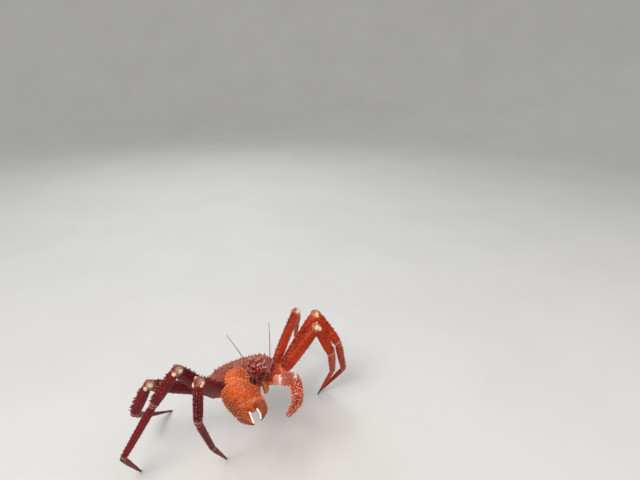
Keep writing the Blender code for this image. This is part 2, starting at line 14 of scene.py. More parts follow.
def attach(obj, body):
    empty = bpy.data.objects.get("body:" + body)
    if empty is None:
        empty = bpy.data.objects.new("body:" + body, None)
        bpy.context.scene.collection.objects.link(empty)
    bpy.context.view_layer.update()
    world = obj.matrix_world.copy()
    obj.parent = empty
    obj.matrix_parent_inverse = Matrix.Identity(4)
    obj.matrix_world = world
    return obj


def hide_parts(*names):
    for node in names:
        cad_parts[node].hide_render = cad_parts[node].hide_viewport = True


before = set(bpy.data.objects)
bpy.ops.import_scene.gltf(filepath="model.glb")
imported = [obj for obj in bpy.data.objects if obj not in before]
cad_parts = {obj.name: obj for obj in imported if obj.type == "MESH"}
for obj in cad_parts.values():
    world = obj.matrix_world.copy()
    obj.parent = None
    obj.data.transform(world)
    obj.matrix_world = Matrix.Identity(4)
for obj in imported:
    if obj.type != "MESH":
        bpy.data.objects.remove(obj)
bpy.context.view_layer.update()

MM = 0.001
GAP = 0.3                           # clearance between pieces that meet
SIDES = {"right": -1.0, "left": 1.0}
PLACES = ("front", "middle", "rear")

# Stance of the body
BODY_AT = np.array((4.2, -18.4, 166.0))
NOSE_UP = 25.0

# Body, as (anterior, half width, height) stations
MARGIN = -12.0                      # dorsal level of the carapace's lower rim
CARAPACE = ((-68, 16, 4), (-65, 36, 9), (-57, 52, 15), (-42, 62, 20), (-22, 65, 23), (-2, 59, 25),
            (18, 49, 26), (36, 38, 24), (52, 29, 21), (62, 24, 18), (70, 20, 15))
THORAX = ((-58, 20, 14), (-50, 38, 24), (-30, 48, 31), (-4, 46, 33), (20, 38, 31), (42, 30, 27),
          (62, 22, 20))
FRONT = 70.0
MOUTH = 62.0
CORNER = 0.78                       # how square the body's cross sections are
# The tail, from its root round under the thorax: anterior, dorsal, half width, half thickness
ABDOMEN = ((-63, -11, 28, 9), (-65, -24, 36, 11), (-60.5, -39.5, 38, 11.5), (-44, -48.5, 34, 8.5),
           (-18, -51, 28, 7), (6, -50, 19, 5), (20, -47, 8, 3))
# Swellings of the carapace: anterior, left, reach and height, mirrored where left isn't 0
REGIONS = ((40, 0, 20, 3.4), (-14, 0, 19, 3.2), (-8, 40, 24, 3.0), (34, 30, 13, 1.6), (-46, 16, 15, 1.8))

# Thorns of the brow: anterior, left, length and lean forwards
BROW_THORNS = ((31, 12, 11, 0.3), (34, 27, 11, 0.3), (42, 0, 13, 0.4), (44, 17, 13, 0.5), (52, 8, 14, 0.6),
               (55, 20, 13, 0.7), (62, 4, 13, 0.9), (62, 14, 13, 0.9), (38, 8, 8, 0.3), (48, 24, 9, 0.5),
               (58, 12, 9, 0.7), (26, 22, 7, 0.3), (25, 4, 7, 0.3), (66, 18, 9, 1.0), (48, 9, 8, 0.5))
# Thorns of the shell's front: left, dorsal, length, spread and rise
FRONT_THORNS = ((18, 0, 9, 0.5, 0.5), (19, -7, 8, 0.7, 0.1), (10, 1, 9, 0.3, 0.6), (7, -11, 6, 0.1, -0.2),
                (12, -9, 6, 0.3, -0.1), (15, -11.5, 7, 0.5, -0.3))
# Thorns of the beak: fraction of its length, angle, lean forwards and length
BEAK_THORNS = ((0.3, 60, 0.7, 13), (0.36, 120, 0.7, 13), (0.58, 90, 0.9, 15), (0.6, 15, 1.0, 12),
               (0.6, 165, 1.0, 12), (0.85, 50, 1.3, 11), (0.85, 130, 1.3, 11), (0.95, 90, 4.0, 12),
               (0.25, 20, 0.9, 9), (0.25, 160, 0.9, 9), (0.45, 90, 0.6, 10), (0.8, 90, 1.5, 10))

# Face, as (anterior, left, dorsal) places from the front of the shell or from the mouth
EYE_STALK = ((0, 14.5, -6.5), (6, 14.5, -6.5), (7.5, 15, -6.5), (10, 15.5, -6.5), (12.5, 16, -6.5),
             (14, 16.5, -6.5))
ANTENNA = ((GAP, 18, -18), (12, 18, -18), (21, 18, -15), (29, 18, -3), (32, 22, 18), (28, 31, 50),
           (14, 43, 84))
ANTENNA_SCALE = ((10, 20.5, -15), (16, 21.5, -12), (26, 23, -8))
ANTENNULE = ((GAP, 7, -17), (14, 7, -17), (28, 9, -8), (33, 10, 2))
MAXILLIPED = ((GAP, 8.5, -25.5), (9, 8.5, -25.5), (15, 8.5, -31), (14, 8, -38), (7, 7.5, -44))

# Walking legs, with lengths of merus, carpus, propodus and dactyl
LEG_BASE = {"front": (42, 62, -25), "middle": (8, 75, -27), "rear": (-28, 72, -27)}
LEG_ROOT = {"front": (28, 24, -35), "middle": (4, 26, -36), "rear": (-22, 26, -35)}
LEG_LENGTH = {"front": (112, 72, 106, 90), "middle": (134, 80, 120, 99), "rear": (133, 74, 112, 94)}
# Azimuth and elevation of merus, carpus and propodus, then the azimuth of the dactyl
LEG_POSE = {
    ("front", "right"): ((-140, 47), (-128, -75), (47, -67), 45),
    ("middle", "right"): ((-151, 53), (161, -56), (171, -57), 56),
    ("rear", "right"): ((-174, 30), (149, -63), (67, -43), 42),
    ("front", "left"): ((5, 41), (-34, -65), (55, -56), 118),
    ("middle", "left"): ((4, 50), (-55, -50), (44, -61), 123),
    ("rear", "left"): ((35, 36), (60, -48), (66, -52), 60),
}
LEG_RINGS = {"coxa": 30, "merus": 96, "carpus": 60, "propodus": 80, "dactyl": 70}
KNOB_ANGLES = (22, 158)             # where the lobes of a knee stand
# The place of a knee's lobes along a segment, and their radii
KNEE_LOBES = {"merus": (0.99, (5.6, 3.5, 4.2)), "carpus": (0.05, (5.0, 3.3, 4.1))}
NAIL_FROM = 0.55                    # where the dactyl starts to darken
# Rims at the far and near ends of a segment: place, width, height and paleness
FAR_RIM, NEAR_RIM = (0.965, 1.8, 0.7, 0.25), (0.03, 1.8, 0.4, 0.2)

# Claw arms
ARM_BASE = (62, 33, -30)
ARM_ROOT = (50, 20, -30)
# Lengths, and azimuths and elevations, of merus, carpus and palm
ARM_LENGTH = {"right": (56, 36, 73), "left": (52, 32, 46)}
ARM_POSE = {"right": ((-132, 78), (-117, -1), (-93, -3)), "left": ((-103, 38), (-23, -2), (-114, -9))}
ARM_PARTS = ("coxa", "merus", "carpus")
ARM_RINGS = 44

# Segment profiles: fraction of the length, half width and half height
PROFILES = {
    "coxa": ((0, 10, 11), (0.6, 10, 12), (1, 9, 11)),
    "merus": ((0, 8, 10), (0.25, 9, 12.5), (0.6, 9, 12.5), (0.9, 8.5, 11), (1, 8, 10)),
    "carpus": ((0, 6.8, 7.8), (0.3, 8.3, 9.5), (0.75, 8.3, 9.8), (1, 6.8, 8)),
    "propodus": ((0, 5.5, 6.5), (0.15, 6, 7.5), (0.7, 5.2, 6.5), (1, 4.8, 5.6)),
    "dactyl": ((0, 4.2, 5), (0.15, 4.4, 5.4), (0.6, 3, 3.8), (0.88, 1.9, 2.3), (1, 1.6, 1.9)),
    "arm_coxa": ((0, 8, 8.5), (1, 8, 8.5)),
    "arm_merus": ((0, 7.5, 8), (0.5, 9, 10), (1, 8, 9)),
    "right_carpus": ((0, 12, 10), (0.35, 18.5, 12.5), (0.75, 20, 13), (1, 16.5, 11)),
    "left_carpus": ((0, 8, 8.5), (0.5, 11, 12), (1, 9, 10)),
    "beak": ((0, 9.5, 6.5), (0.4, 8.5, 6), (1, 3, 2.5)),
}

# Claws, with how far the middle of each section lies aside as a fourth value
HINGE = {"right": 0.86, "left": 0.97}
PALM = {
    "right": ((0, 18.5, 11, -7.5), (0.1, 22.5, 14.5, -7.5), (0.28, 27, 17.5, -5), (0.45, 29, 18, -2),
              (0.65, 27.5, 17, -1.2), (0.78, 26.7, 14.5, 0.2), (HINGE["right"], 26, 12, 0.7)),
    "left": ((0, 7.5, 7.5, 0), (0.3, 10.5, 9.5, 0), (0.8, 10.5, 9.5, 0), (HINGE["left"], 9.5, 8.5, 0.5)),
}
FIXED_FINGER = {
    "right": ((HINGE["right"], 12.2, 8.5, -12), (0.93, 12, 11, -12), (1.02, 10.6, 10.4, -11.8),
              (1.1, 8.4, 8.6, -11), (1.19, 5.8, 6.4, -9.4), (1.33, 1.2, 1.4, -6)),
    "left": ((HINGE["left"], 4.2, 4.8, -4.3), (1.04, 4.7, 6, -3.8), (1.3, 4.6, 5.4, 0.2),
             (1.6, 3.8, 4.5, 8.7), (1.9, 2.3, 2.7, 18), (2.0, 0.9, 1.2, 21.5)),
}
MOVABLE_FINGER = {
    "right": ((HINGE["right"], 9.6, 10.5, 16.4), (0.95, 9.6, 10.5, 17), (1.04, 8.6, 9.4, 17.4),
              (1.13, 6.6, 7.6, 16.6), (1.21, 4.6, 5.4, 14.4), (1.31, 1.3, 1.6, 9)),
    "left": ((HINGE["left"], 4.4, 6, 4.9), (1.3, 4.2, 5.2, 9.4), (1.6, 3.2, 4.2, 16),
             (1.85, 2.0, 2.4, 22.5), (1.98, 0.9, 1.2, 25.5)),
}
# How the big right claw and the small left one differ. Hinge and wrist are the palm's two crests: width,
# height and paleness. Step, radius, fade and halo belong to the nodules, row_step to those on a crest,
# and palm_painted_shade and finger_shade_and_tone say how dark the outer edge of the palm and the fingers
# are: painted shade on the palm's edge, and on the fingers painted shade with their own darker colour.
CLAW_STYLE = {
    "right": SimpleNamespace(roll=12.0, around=72, wrist_round=7.0, hinge=(2.4, 1.3, 0.5),
                             wrist=(2.8, 0.8, 0.55), step=5.0, palm_radius=1.7, finger_radius=1.6, fade=0.25,
                             row_step=13.0, uneven=None, halo=1.05, palm_painted_shade=0.95, finger_shade_and_tone=0.66,
                             teeth_from=0.36, tooth=4.0, arm_rims=(2.4, 0.5)),
    "left": SimpleNamespace(roll=22.0, around=48, wrist_round=5.0, hinge=(1.6, 0.7, 0.5),
                            wrist=(2.0, 0.4, 0.8), step=5.4, palm_radius=2.0, finger_radius=1.8, fade=0.4,
                            row_step=26.0, uneven=(0.65, 1.3), halo=1.3, palm_painted_shade=0.4, finger_shade_and_tone=0.32,
                            teeth_from=0.15, tooth=2.4, arm_rims=(3.2, 0.95)),
}
TEETH = 6

# Rows of spines: angles, count, first and last place, length, radius, scatter of the angle
ROWS = {
    "merus": (((90,), 13, 0.08, 0.93, 5.2, 1.5, 5), ((62, 118), 12, 0.08, 0.92, 2.8, 1.2, 7),
              ((30, 150), 11, 0.1, 0.92, 2.2, 1.1, 8), ((0, 180), 9, 0.1, 0.9, 1.6, 1.0, 9),
              ((250, 290), 9, 0.1, 0.9, 2.4, 1.1, 8)),
    "carpus": (((90,), 10, 0.12, 0.93, 6.0, 1.5, 5), ((65, 115), 9, 0.12, 0.92, 4.2, 1.3, 7),
               ((35, 145), 8, 0.12, 0.9, 2.8, 1.1, 8), ((0, 180), 6, 0.15, 0.9, 1.6, 1.0, 9)),
    "propodus": (((90,), 14, 0.06, 0.94, 3.2, 1.1, 6), ((55, 125), 13, 0.06, 0.94, 2.2, 0.9, 8),
                 ((15, 165), 11, 0.08, 0.94, 1.6, 0.8, 9), ((240, 300), 11, 0.08, 0.94, 2.0, 0.9, 9)),
    "dactyl": (((90,), 6, 0.05, 0.5, 1.4, 0.7, 10), ((40, 140), 5, 0.05, 0.45, 1.2, 0.7, 12)),
    "right_merus": (((90,), 6, 0.25, 0.92, 4.0, 1.5, 8), ((50,), 5, 0.3, 0.92, 3.0, 1.3, 9),
                    ((130,), 6, 0.25, 0.92, 3.4, 1.4, 9), ((170,), 5, 0.3, 0.92, 3.0, 1.3, 9),
                    ((10,), 4, 0.3, 0.9, 2.2, 1.2, 9)),
    "right_carpus": ((range(-40, 230, 20), 5, 0.1, 0.95, 3.8, 2.7, 13),
                     (range(-30, 230, 20), 5, 0.06, 0.96, 2.2, 1.5, 12)),
    "left_carpus": ((range(-20, 215, 26), 5, 0.12, 0.92, 3.6, 1.5, 8),),
}


def unit(vectors):
    """Vectors at length 1."""
    vectors = np.asarray(vectors, float)
    return vectors / np.maximum(np.linalg.norm(vectors, axis=-1, keepdims=True), 1e-9)


def direction(azimuth, elevation):
    """A unit vector from an azimuth, counted from +X, and an elevation."""
    az, el = math.radians(azimuth), math.radians(elevation)
    return np.array((math.cos(az) * math.cos(el), math.sin(az) * math.cos(el), math.sin(el)))


ANTERIOR = direction(-90, NOSE_UP)
LEFT = np.array((1.0, 0.0, 0.0))
DORSAL = direction(90, 90 - NOSE_UP)


def on_body(anterior, left, dorsal):
    """Places given in the body's axes, for numbers or arrays."""
    places = np.stack(np.broadcast_arrays(anterior, left, dorsal), -1)
    return BODY_AT + places @ np.array((ANTERIOR, LEFT, DORSAL))


def body_path(sign, start, places):
    """A row of places on one side of the body, counted forwards from start."""
    return [on_body(start + anterior, sign * left, dorsal) for anterior, left, dorsal in places]


def mirrored(left):
    """Both signs for what stands aside, and one for what stands in the middle."""
    return (-1.0, 1.0) if left else (1.0,)


def spline(table, x):
    """The values at each x on smooth curves through a table whose first column rises."""
    table = np.asarray(table, float)
    x = np.clip(np.asarray(x, float), table[0, 0], table[-1, 0])
    n = len(table)
    i = np.clip(np.searchsorted(table[:, 0], x, side="left") - 1, 0, n - 2)
    low, high = table[i], table[i + 1]
    before, after = table[np.maximum(i - 1, 0)], table[np.minimum(i + 2, n - 1)]
    span = high[..., :1] - low[..., :1]
    t = (x[..., None] - low[..., :1]) / span
    rise_low = (high - before) / (high[..., :1] - before[..., :1]) * span
    rise_high = (after - low) / (after[..., :1] - low[..., :1]) * span
    values = ((2 * t**3 - 3 * t**2 + 1) * low + (t**3 - 2 * t**2 + t) * rise_low
              + (3 * t**2 - 2 * t**3) * high + (t**3 - t**2) * rise_high)
    return values[..., 1:]


def bell(x):
    """1 at 0, falling smoothly to nothing by about 2."""
    return np.exp(-x**2)


def circle(count):
    """Angles in radians, evenly round a circle."""
    return np.arange(count) * 2 * math.pi / count


def turned(vector, before, after):
    """A vector turned the way that takes one unit vector to another."""
    return np.array(Vector(before).rotation_difference(Vector(after)) @ Vector(vector))


def rough(points, scale, depth=2):
    """Smooth noise at each point, about -1 to 1."""
    flat = np.asarray(points).reshape(-1, 3) * scale
    values = [noise.fractal(Vector(p), 1.0, 2.0, depth) for p in flat]
    return np.array(values).reshape(np.asarray(points).shape[:-1])


def put(name, data):
    """A new object in the scene."""
    obj = bpy.data.objects.new(name, data)
    bpy.context.scene.collection.objects.link(obj)
    return obj


class Piece:
    """Surfaces gathered into one object, with marks for its material and its map."""

    MARKS = ("tip", "halo", "pale", "smooth", "deep")

    def __init__(self):
        self.surfaces = []
        self.marks = {mark: [] for mark in self.MARKS}
        self.count = 0

    def add(self, verts, quads, tris, uv_quads, uv_tris, **marks):
        """Adds a surface with its map and its marks, which are 0 where none are given."""
        self.surfaces.append((verts, quads + self.count, tris + self.count, uv_quads, uv_tris))
        for mark in self.MARKS:
            self.marks[mark].append(np.broadcast_to(marks.get(mark, 0.0), len(verts)))
        self.count += len(verts)

    def build(self, name, nodes, material, slot):
        """Makes the object, in place of the nodes it is named for."""
        verts, quads, tris, uv_quads, uv_tris = (np.concatenate(parts) for parts in zip(*self.surfaces))
        mesh = bpy.data.meshes.new(name)
        mesh.from_pydata((verts * MM).tolist(), [], quads.tolist() + tris.tolist())
        layer = mesh.uv_layers.new(name="OFBake")
        layer.data.foreach_set("uv", np.concatenate([uv_quads.ravel(), uv_tris.ravel()]))
        for mark in self.MARKS:
            attribute = mesh.attributes.new(mark, "FLOAT", "POINT")
            attribute.data.foreach_set("value", np.concatenate(self.marks[mark]).astype(np.float32))
        mesh.polygons.foreach_set("use_smooth", np.ones(len(mesh.polygons), bool))
        mesh.materials.append(material)
        obj = put(name, mesh)
        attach(obj, "root")
        if nodes:
            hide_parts(*nodes)


# The map's margin, and the share of it that a surface takes
MAP_EDGE, MAP_SPAN = 0.02, 0.96
# The corners of a face of a surface, as steps round and along
CORNERS = ((0, 0), (1, 0), (1, 1), (0, 1))


def on_map(u, v):
    """Places on the map for fractions round and along a surface."""
    return MAP_EDGE + MAP_SPAN * np.stack([u, v], -1)


def surface(rings):
    """A closed surface over rings of points, facing out, with a pole at each end and a map."""
    rows, around = rings.shape[:2]
    verts = np.concatenate([rings.reshape(-1, 3), rings[:1].mean(axis=1), rings[-1:].mean(axis=1)])
    u = np.linspace(MAP_EDGE, 1 - MAP_EDGE, around + 1)
    v = np.linspace(MAP_EDGE, 1 - MAP_EDGE, rows)
    i, k = np.meshgrid(np.arange(rows - 1), np.arange(around), indexing="ij")
    quads = np.stack([(i + up) * around + (k + side) % around for side, up in CORNERS], -1).reshape(-1, 4)
    uv = np.stack([np.stack([u[k + side], v[i + up]], -1) for side, up in CORNERS], 2).reshape(-1, 4, 2)
    tris, uv_tris = [], []
    ring = np.arange(around)
    for pole, row in enumerate((0, rows - 1)):
        a, b = (ring, ring + 1) if pole else (ring + 1, ring)
        tris.append(np.stack([np.full(around, rows * around + pole), row * around + a % around,
                              row * around + b % around], -1))
        ends = np.full((3, around), v[row])
        ends[0] += 0.01 if pole else -0.01
        uv_tris.append(np.stack([np.stack([np.full(around, 0.5), u[a], u[b]]), ends], -1).swapaxes(0, 1))
    tris, uv_tris = np.concatenate(tris), np.concatenate(uv_tris)
    a, b, c, d = (verts[quads[:, n]] for n in range(4))
    if np.einsum("ij,ij->", np.cross(c - a, d - b), (a + c) / 2 - verts.mean(axis=0)) < 0:
        quads, uv, tris, uv_tris = quads[:, ::-1], uv[:, ::-1], tris[:, ::-1], uv_tris[:, ::-1]
    return verts, quads, tris, uv, uv_tris


def grown(rings, amount):
    """Rings with each point moved along the surface's normal."""
    along = np.gradient(rings, axis=0)
    across = np.roll(rings, -1, axis=1) - np.roll(rings, 1, axis=1)
    normals = unit(np.cross(across, along))
    centre = rings.mean(axis=1, keepdims=True)
    facing = np.sign(np.einsum("ijk,ijk->ij", normals, rings - centre))
    return rings + normals * facing[..., None] * np.asarray(amount)[..., None]


# A spine is built from rings at these places along it, this much of its root's radius wide, and is a
# small round patch on the map, this wide at each ring
SPINE_PLACES = np.array((-0.45, 0.0, 0.35, 0.72))
SPINE_WIDTHS = np.array((1.15, 1.0, 0.62, 0.3))
SPINE_PATCH = (0.0015, 0.0013, 0.0009, 0.0005)


def add_spines(piece, roots, outs, lengths, radii, uv, sides=7, deep=0.0):
    """Adds many spines, each a closed cone whose root is sunk in the surface."""
    n, rows, outs = len(roots), len(SPINE_PLACES), unit(outs)
    helper = np.where(np.abs(outs[:, 2:]) > 0.8, [[1.0, 0.0, 0.0]], [[0.0, 0.0, 1.0]])
    side = unit(np.cross(outs, helper))
    up = np.cross(outs, side)
    turns = circle(sides)[:, None]
    ring = side[:, None] * np.cos(turns) + up[:, None] * np.sin(turns)
    axis = (outs * np.broadcast_to(lengths, n)[:, None])[:, None]
    centres = roots[:, None] + axis * SPINE_PLACES[:, None]
    widths = np.broadcast_to(radii, n)[:, None] * SPINE_WIDTHS
    rings = centres[:, :, None] + ring[:, None] * widths[..., None, None]
    ends = roots[:, None] + axis * np.array((1.0, SPINE_PLACES[0]))[:, None]
    verts = np.concatenate([rings.reshape(n, -1, 3), ends], axis=1)
    k = np.arange(sides)
    j = (k + 1) % sides
    quads = np.concatenate([np.stack([low + k, low + j, low + sides + j, low + sides + k], -1)
                            for low in range(0, (rows - 1) * sides, sides)])
    top, tip = (rows - 1) * sides, rows * sides
    tris = np.stack([np.stack([top + k, top + j, np.full(sides, tip)], -1),
                     np.stack([j, k, np.full(sides, tip + 1)], -1)], 1).reshape(-1, 3)
    offsets = (np.arange(n) * (tip + 2))[:, None, None]
    # the tip is in the middle of the patch
    reach = np.append(np.repeat(SPINE_PATCH, sides), (0.0, SPINE_PATCH[0]))
    around = np.append(np.tile(circle(sides), rows), (0.0, 0.0))
    patches = uv[:, None] + np.stack([np.cos(around), np.sin(around)], -1) * reach[:, None]
    height = np.append(np.repeat(np.clip(SPINE_PLACES, 0.0, 1.0), sides), (1.0, 0.0))
    piece.add(verts.reshape(-1, 3), (quads + offsets).reshape(-1, 4), (tris + offsets).reshape(-1, 3),
              patches[:, quads].reshape(-1, 4, 2), patches[:, tris].reshape(-1, 3, 2),
              tip=np.tile(height, n), deep=np.repeat(np.broadcast_to(deep, n), tip + 2))


def halo_of(verts, roots, radii):
    """How near each vertex is to the root of a spine, 1 at the root and 0 away from all."""
    tree = kdtree.KDTree(len(roots))
    for i, root in enumerate(roots):
        tree.insert(root, i)
    tree.balance()
    values = np.empty(len(verts))
    for i, vert in enumerate(verts):
        _, index, distance = tree.find(vert)
        values[i] = bell(distance / (1.7 * radii[index]))
    return values


def rounded(places, before, after, steps, end):
    """Places along a limb with its ends rounded off, and how wide the ring at each place is."""
    ease = np.linspace(math.pi / 2, end, steps)[:-1]
    swell = np.ones(len(places))
    if before:
        places = np.concatenate([(places[0] - before * np.cos(ease))[::-1], places])
        swell = np.concatenate([np.sin(ease)[::-1], swell])
    if after:
        places = np.concatenate([places, places[-1] + after * np.cos(ease)])
        swell = np.concatenate([swell, np.sin(ease)])
    return places, swell


class Limb:
    """A tapering piece between two joints, with an oval section set by a profile."""

    def __init__(self, start, end, side, profile):
        self.start, self.end = np.asarray(start, float), np.asarray(end, float)
        self.length = float(np.linalg.norm(self.end - self.start))
        self.axis = unit(self.end - self.start)
        self.side = unit(side - self.axis * float(np.dot(side, self.axis)))
        self.up = np.cross(self.axis, self.side)
        self.profile = profile

    def section(self, t):
        """Half width, half height and how far the middle lies to the side."""
        values = spline(self.profile, t)
        aside = values[..., 2] if values.shape[-1] > 2 else np.zeros(values.shape[:-1])
        return values[..., 0], values[..., 1], aside

    def points(self, t, angle, swell=1.0):
        """The surface at fractions of the length and angles from the side towards up."""
        t, angle = np.broadcast_arrays(np.asarray(t, float), np.radians(angle))
        wide, high, aside = self.section(t)
        along = self.start + self.axis * (self.length * t)[..., None]
        return (along + self.side * (aside + wide * swell * np.cos(angle))[..., None]
                + self.up * (high * swell * np.sin(angle))[..., None])

    def outward(self, t, angle):
        """The directions away from the surface at those places."""
        wide, high, _ = self.section(np.asarray(t, float))
        turn = np.radians(angle)[..., None]
        return unit(self.side * np.cos(turn) / wide[..., None] + self.up * np.sin(turn) / high[..., None])


def limb_spines(limb, rows, rng):
    """Roots, directions, lengths, radii and places of the spines in rows along a limb."""
    t, angle, length, radius = [], [], [], []
    for angles, count, first, last, tall, wide, spread in rows:
        for at in angles:
            steps = (np.arange(count) + rng.uniform(0.15, 0.85, count)) / count
            t.append(first + (last - first) * steps)
            angle.append(at + rng.uniform(-spread, spread, count))
            length.append(tall * rng.uniform(0.7, 1.3, count))
            radius.append(wide * rng.uniform(0.85, 1.15, count))
    t, angle, length, radius = map(np.concatenate, (t, angle, length, radius))
    outs = limb.outward(t, angle) + limb.axis * 0.35 + rng.normal(0, 0.06, (len(t), 3))
    return limb.points(t, angle), outs, length, radius, t, angle


def add_limb(piece, limb, rows, rng, run, spines=(), around=40, rims=(), nail=False, knee=False):
    """Adds a shell segment: its closed surface with ridges, rims and grain, then its spines."""
    before, after = run
    t, swell = rounded(np.linspace(0, 1, rows), before / limb.length, after / limb.length, 7, 0.12)
    angle = np.arange(around) * 360.0 / around
    rings = limb.points(t[:, None], angle[None], swell[:, None])
    amount = np.zeros(rings.shape[:2])
    pale = np.zeros(rings.shape[:2])
    for place, width, height, paleness in rims:
        near = bell((t - place) * limb.length / width)[:, None]
        amount += height * near
        pale = np.maximum(pale, paleness * near)
    # a painted highlight round the knee's lobes, carried in the pale mark
    if knee:
        for at in KNOB_ANGLES:
            away = np.linalg.norm(rings - limb.points(1.0, at), axis=-1)
            pale = np.maximum(pale, 0.7 * bell(away / 6.5))
    # a low ridge under each row of spines, away from both joints
    inside = np.clip((t - 0.05) * 8, 0, 1) * np.clip((0.95 - t) * 8, 0, 1)
    for angles, *_ in spines:
        for at in angles:
            apart = (angle - at + 180) % 360 - 180
            amount += 0.5 * bell(apart / 11)[None] * inside[:, None]
    amount += 0.35 * rough(rings, 0.09) + 0.18 * rough(rings, 0.35)
    rings = grown(rings, amount * swell[:, None])
    rings[..., 2] = np.maximum(rings[..., 2], 0.0)
    shell = surface(rings)
    marks = {"pale": np.append(pale, (0.0, 0.0))}
    if nail:
        dark = np.clip((t - NAIL_FROM) / (1.0 - NAIL_FROM), 0, 1)
        marks["smooth"] = np.append(np.repeat(dark, around), (0.0, 1.0))
    if not spines:
        piece.add(*shell, **marks)
        return
    roots, outs, length, radius, at, angle = limb_spines(limb, spines, rng)
    piece.add(*shell, halo=halo_of(shell[0], roots, radius), **marks)
    uv = on_map((angle % 360) / 360, (at - t[0]) / (t[-1] - t[0]))
    add_spines(piece, roots + unit(outs) * 0.2, outs, length, radius, uv)


# The corner of the map that round lobes share, and its size
LOBE_AT, LOBE_SPAN = 0.01, 0.006


def lobe(centre, radii, axes, rows=12, around=20):
    """The closed surface of an ellipsoid, with a small map."""
    polar = np.linspace(0.12, math.pi - 0.12, rows)[:, None, None]
    turn = circle(around)[:, None]
    a, b, c = (np.asarray(axis) * radius for axis, radius in zip(axes, radii))
    rings = centre + a * np.cos(polar) + (b * np.cos(turn) + c * np.sin(turn)) * np.sin(polar)
    verts, quads, tris, *maps = surface(rings)
    return verts, quads, tris, *(LOBE_AT + (uv - 0.5) * LOBE_SPAN for uv in maps)


def add_condyle(piece, limb, angle, t, radii):
    """A smooth lobe beside a joint, with a painted ivory highlight where it bulges out and shell colour at
    its foot.
    """
    out = limb.outward(t, angle)
    centre = limb.points(t, angle, 0.95)
    verts, *rest = lobe(centre, radii, (limb.axis, out, np.cross(limb.axis, out)), 14, 24)
    verts = verts + limb.axis * (0.5 * rough(verts, 0.15))[:, None]
    highlight = (verts - centre) @ out / radii[1] + 0.9 * rough(verts, 0.3, 4)
    piece.add(verts, *rest, pale=0.95 * np.clip(0.15 + 1.2 * highlight, 0, 1))


def tube_rings(points, radii, around, steps=6):
    """Rings round a smooth curve through points, with one radius at each."""
    table = np.column_stack([np.arange(len(points)), points, radii])
    values = spline(table, np.linspace(0, len(points) - 1, (len(points) - 1) * steps + 1))
    centres, widths = values[:, :3], values[:, 3]
    axes = unit(np.gradient(centres, axis=0))
    turn = circle(around)[:, None]
    side = unit(np.cross(axes[0], (0.3, 0.5, 0.81)))
    rings = []
    for centre, width, axis in zip(centres, widths, axes):
        side = unit(side - axis * np.dot(side, axis))
        rings.append(centre + width * (side * np.cos(turn) + np.cross(axis, side) * np.sin(turn)))
    return np.array(rings)


class Look:
    """A material in the making, with short ways to add nodes to it."""

    def __init__(self, name):
        self.material = bpy.data.materials.new(name)
        self.material.use_nodes = True
        self.tree = self.material.node_tree
        self.place = self.add("TexCoord", {})["Object"]

    def feed(self, value, socket):
        """Sets a socket from a number, a colour or the output of a node."""
        if isinstance(value, bpy.types.NodeSocket):
            self.tree.links.new(value, socket)
        else:
            socket.default_value = (*value, 1.0) if isinstance(value, tuple) else value

    def add(self, kind, inputs, **properties):
        """The outputs of a new node with its properties and inputs set."""
        node = self.tree.nodes.new("ShaderNode" + kind)
        for key, value in properties.items():
            setattr(node, key, value)
        for key, value in inputs.items():
            self.feed(value, node.inputs[key])
        return node.outputs

    def mix(self, factor, first, second, blend="MIX"):
        """A colour between two, or one blended with the other."""
        return self.add("Mix", {0: factor, 6: first, 7: second}, data_type="RGBA", blend_type=blend)[2]

    def times(self, colour, other):
        return self.mix(1.0, colour, other, "MULTIPLY")

    def maths(self, operation, first, second):
        return self.add("Math", {0: first, 1: second}, operation=operation)[0]

    def ramp(self, value, low, high):
        """A value taken from low..high to 0..1."""
        inputs = {"Value": value, "From Min": low, "From Max": high}
        return self.add("MapRange", inputs, interpolation_type="SMOOTHSTEP")["Result"]

    def noise(self, scale, detail):
        return self.add("TexNoise", {"Vector": self.place, "Scale": scale, "Detail": detail})["Fac"]

    def mark(self, name):
        return self.add("Attribute", {}, attribute_name=name)["Fac"]

    def finish(self, inputs, height, strength, distance):
        """Feeds the shader its inputs and its bumps, and gives the material."""
        bump = self.add("Bump", {"Height": height, "Strength": strength, "Distance": distance})
        shader = self.tree.nodes["Principled BSDF"]
        for key, value in {**inputs, "Normal": bump["Normal"]}.items():
            self.feed(value, shader.inputs[key])
        return self.material


# How the shell's colour changes under painted shade on a claw's outer side and fingers (the fingers also
# darker in their own colour), on its fine grain and at a nail
SHADED = (0.30, 0.38, 0.5)
GRAIN = (1.3, 1.35, 1.3)
NAIL = (0.035, 0.018, 0.014)


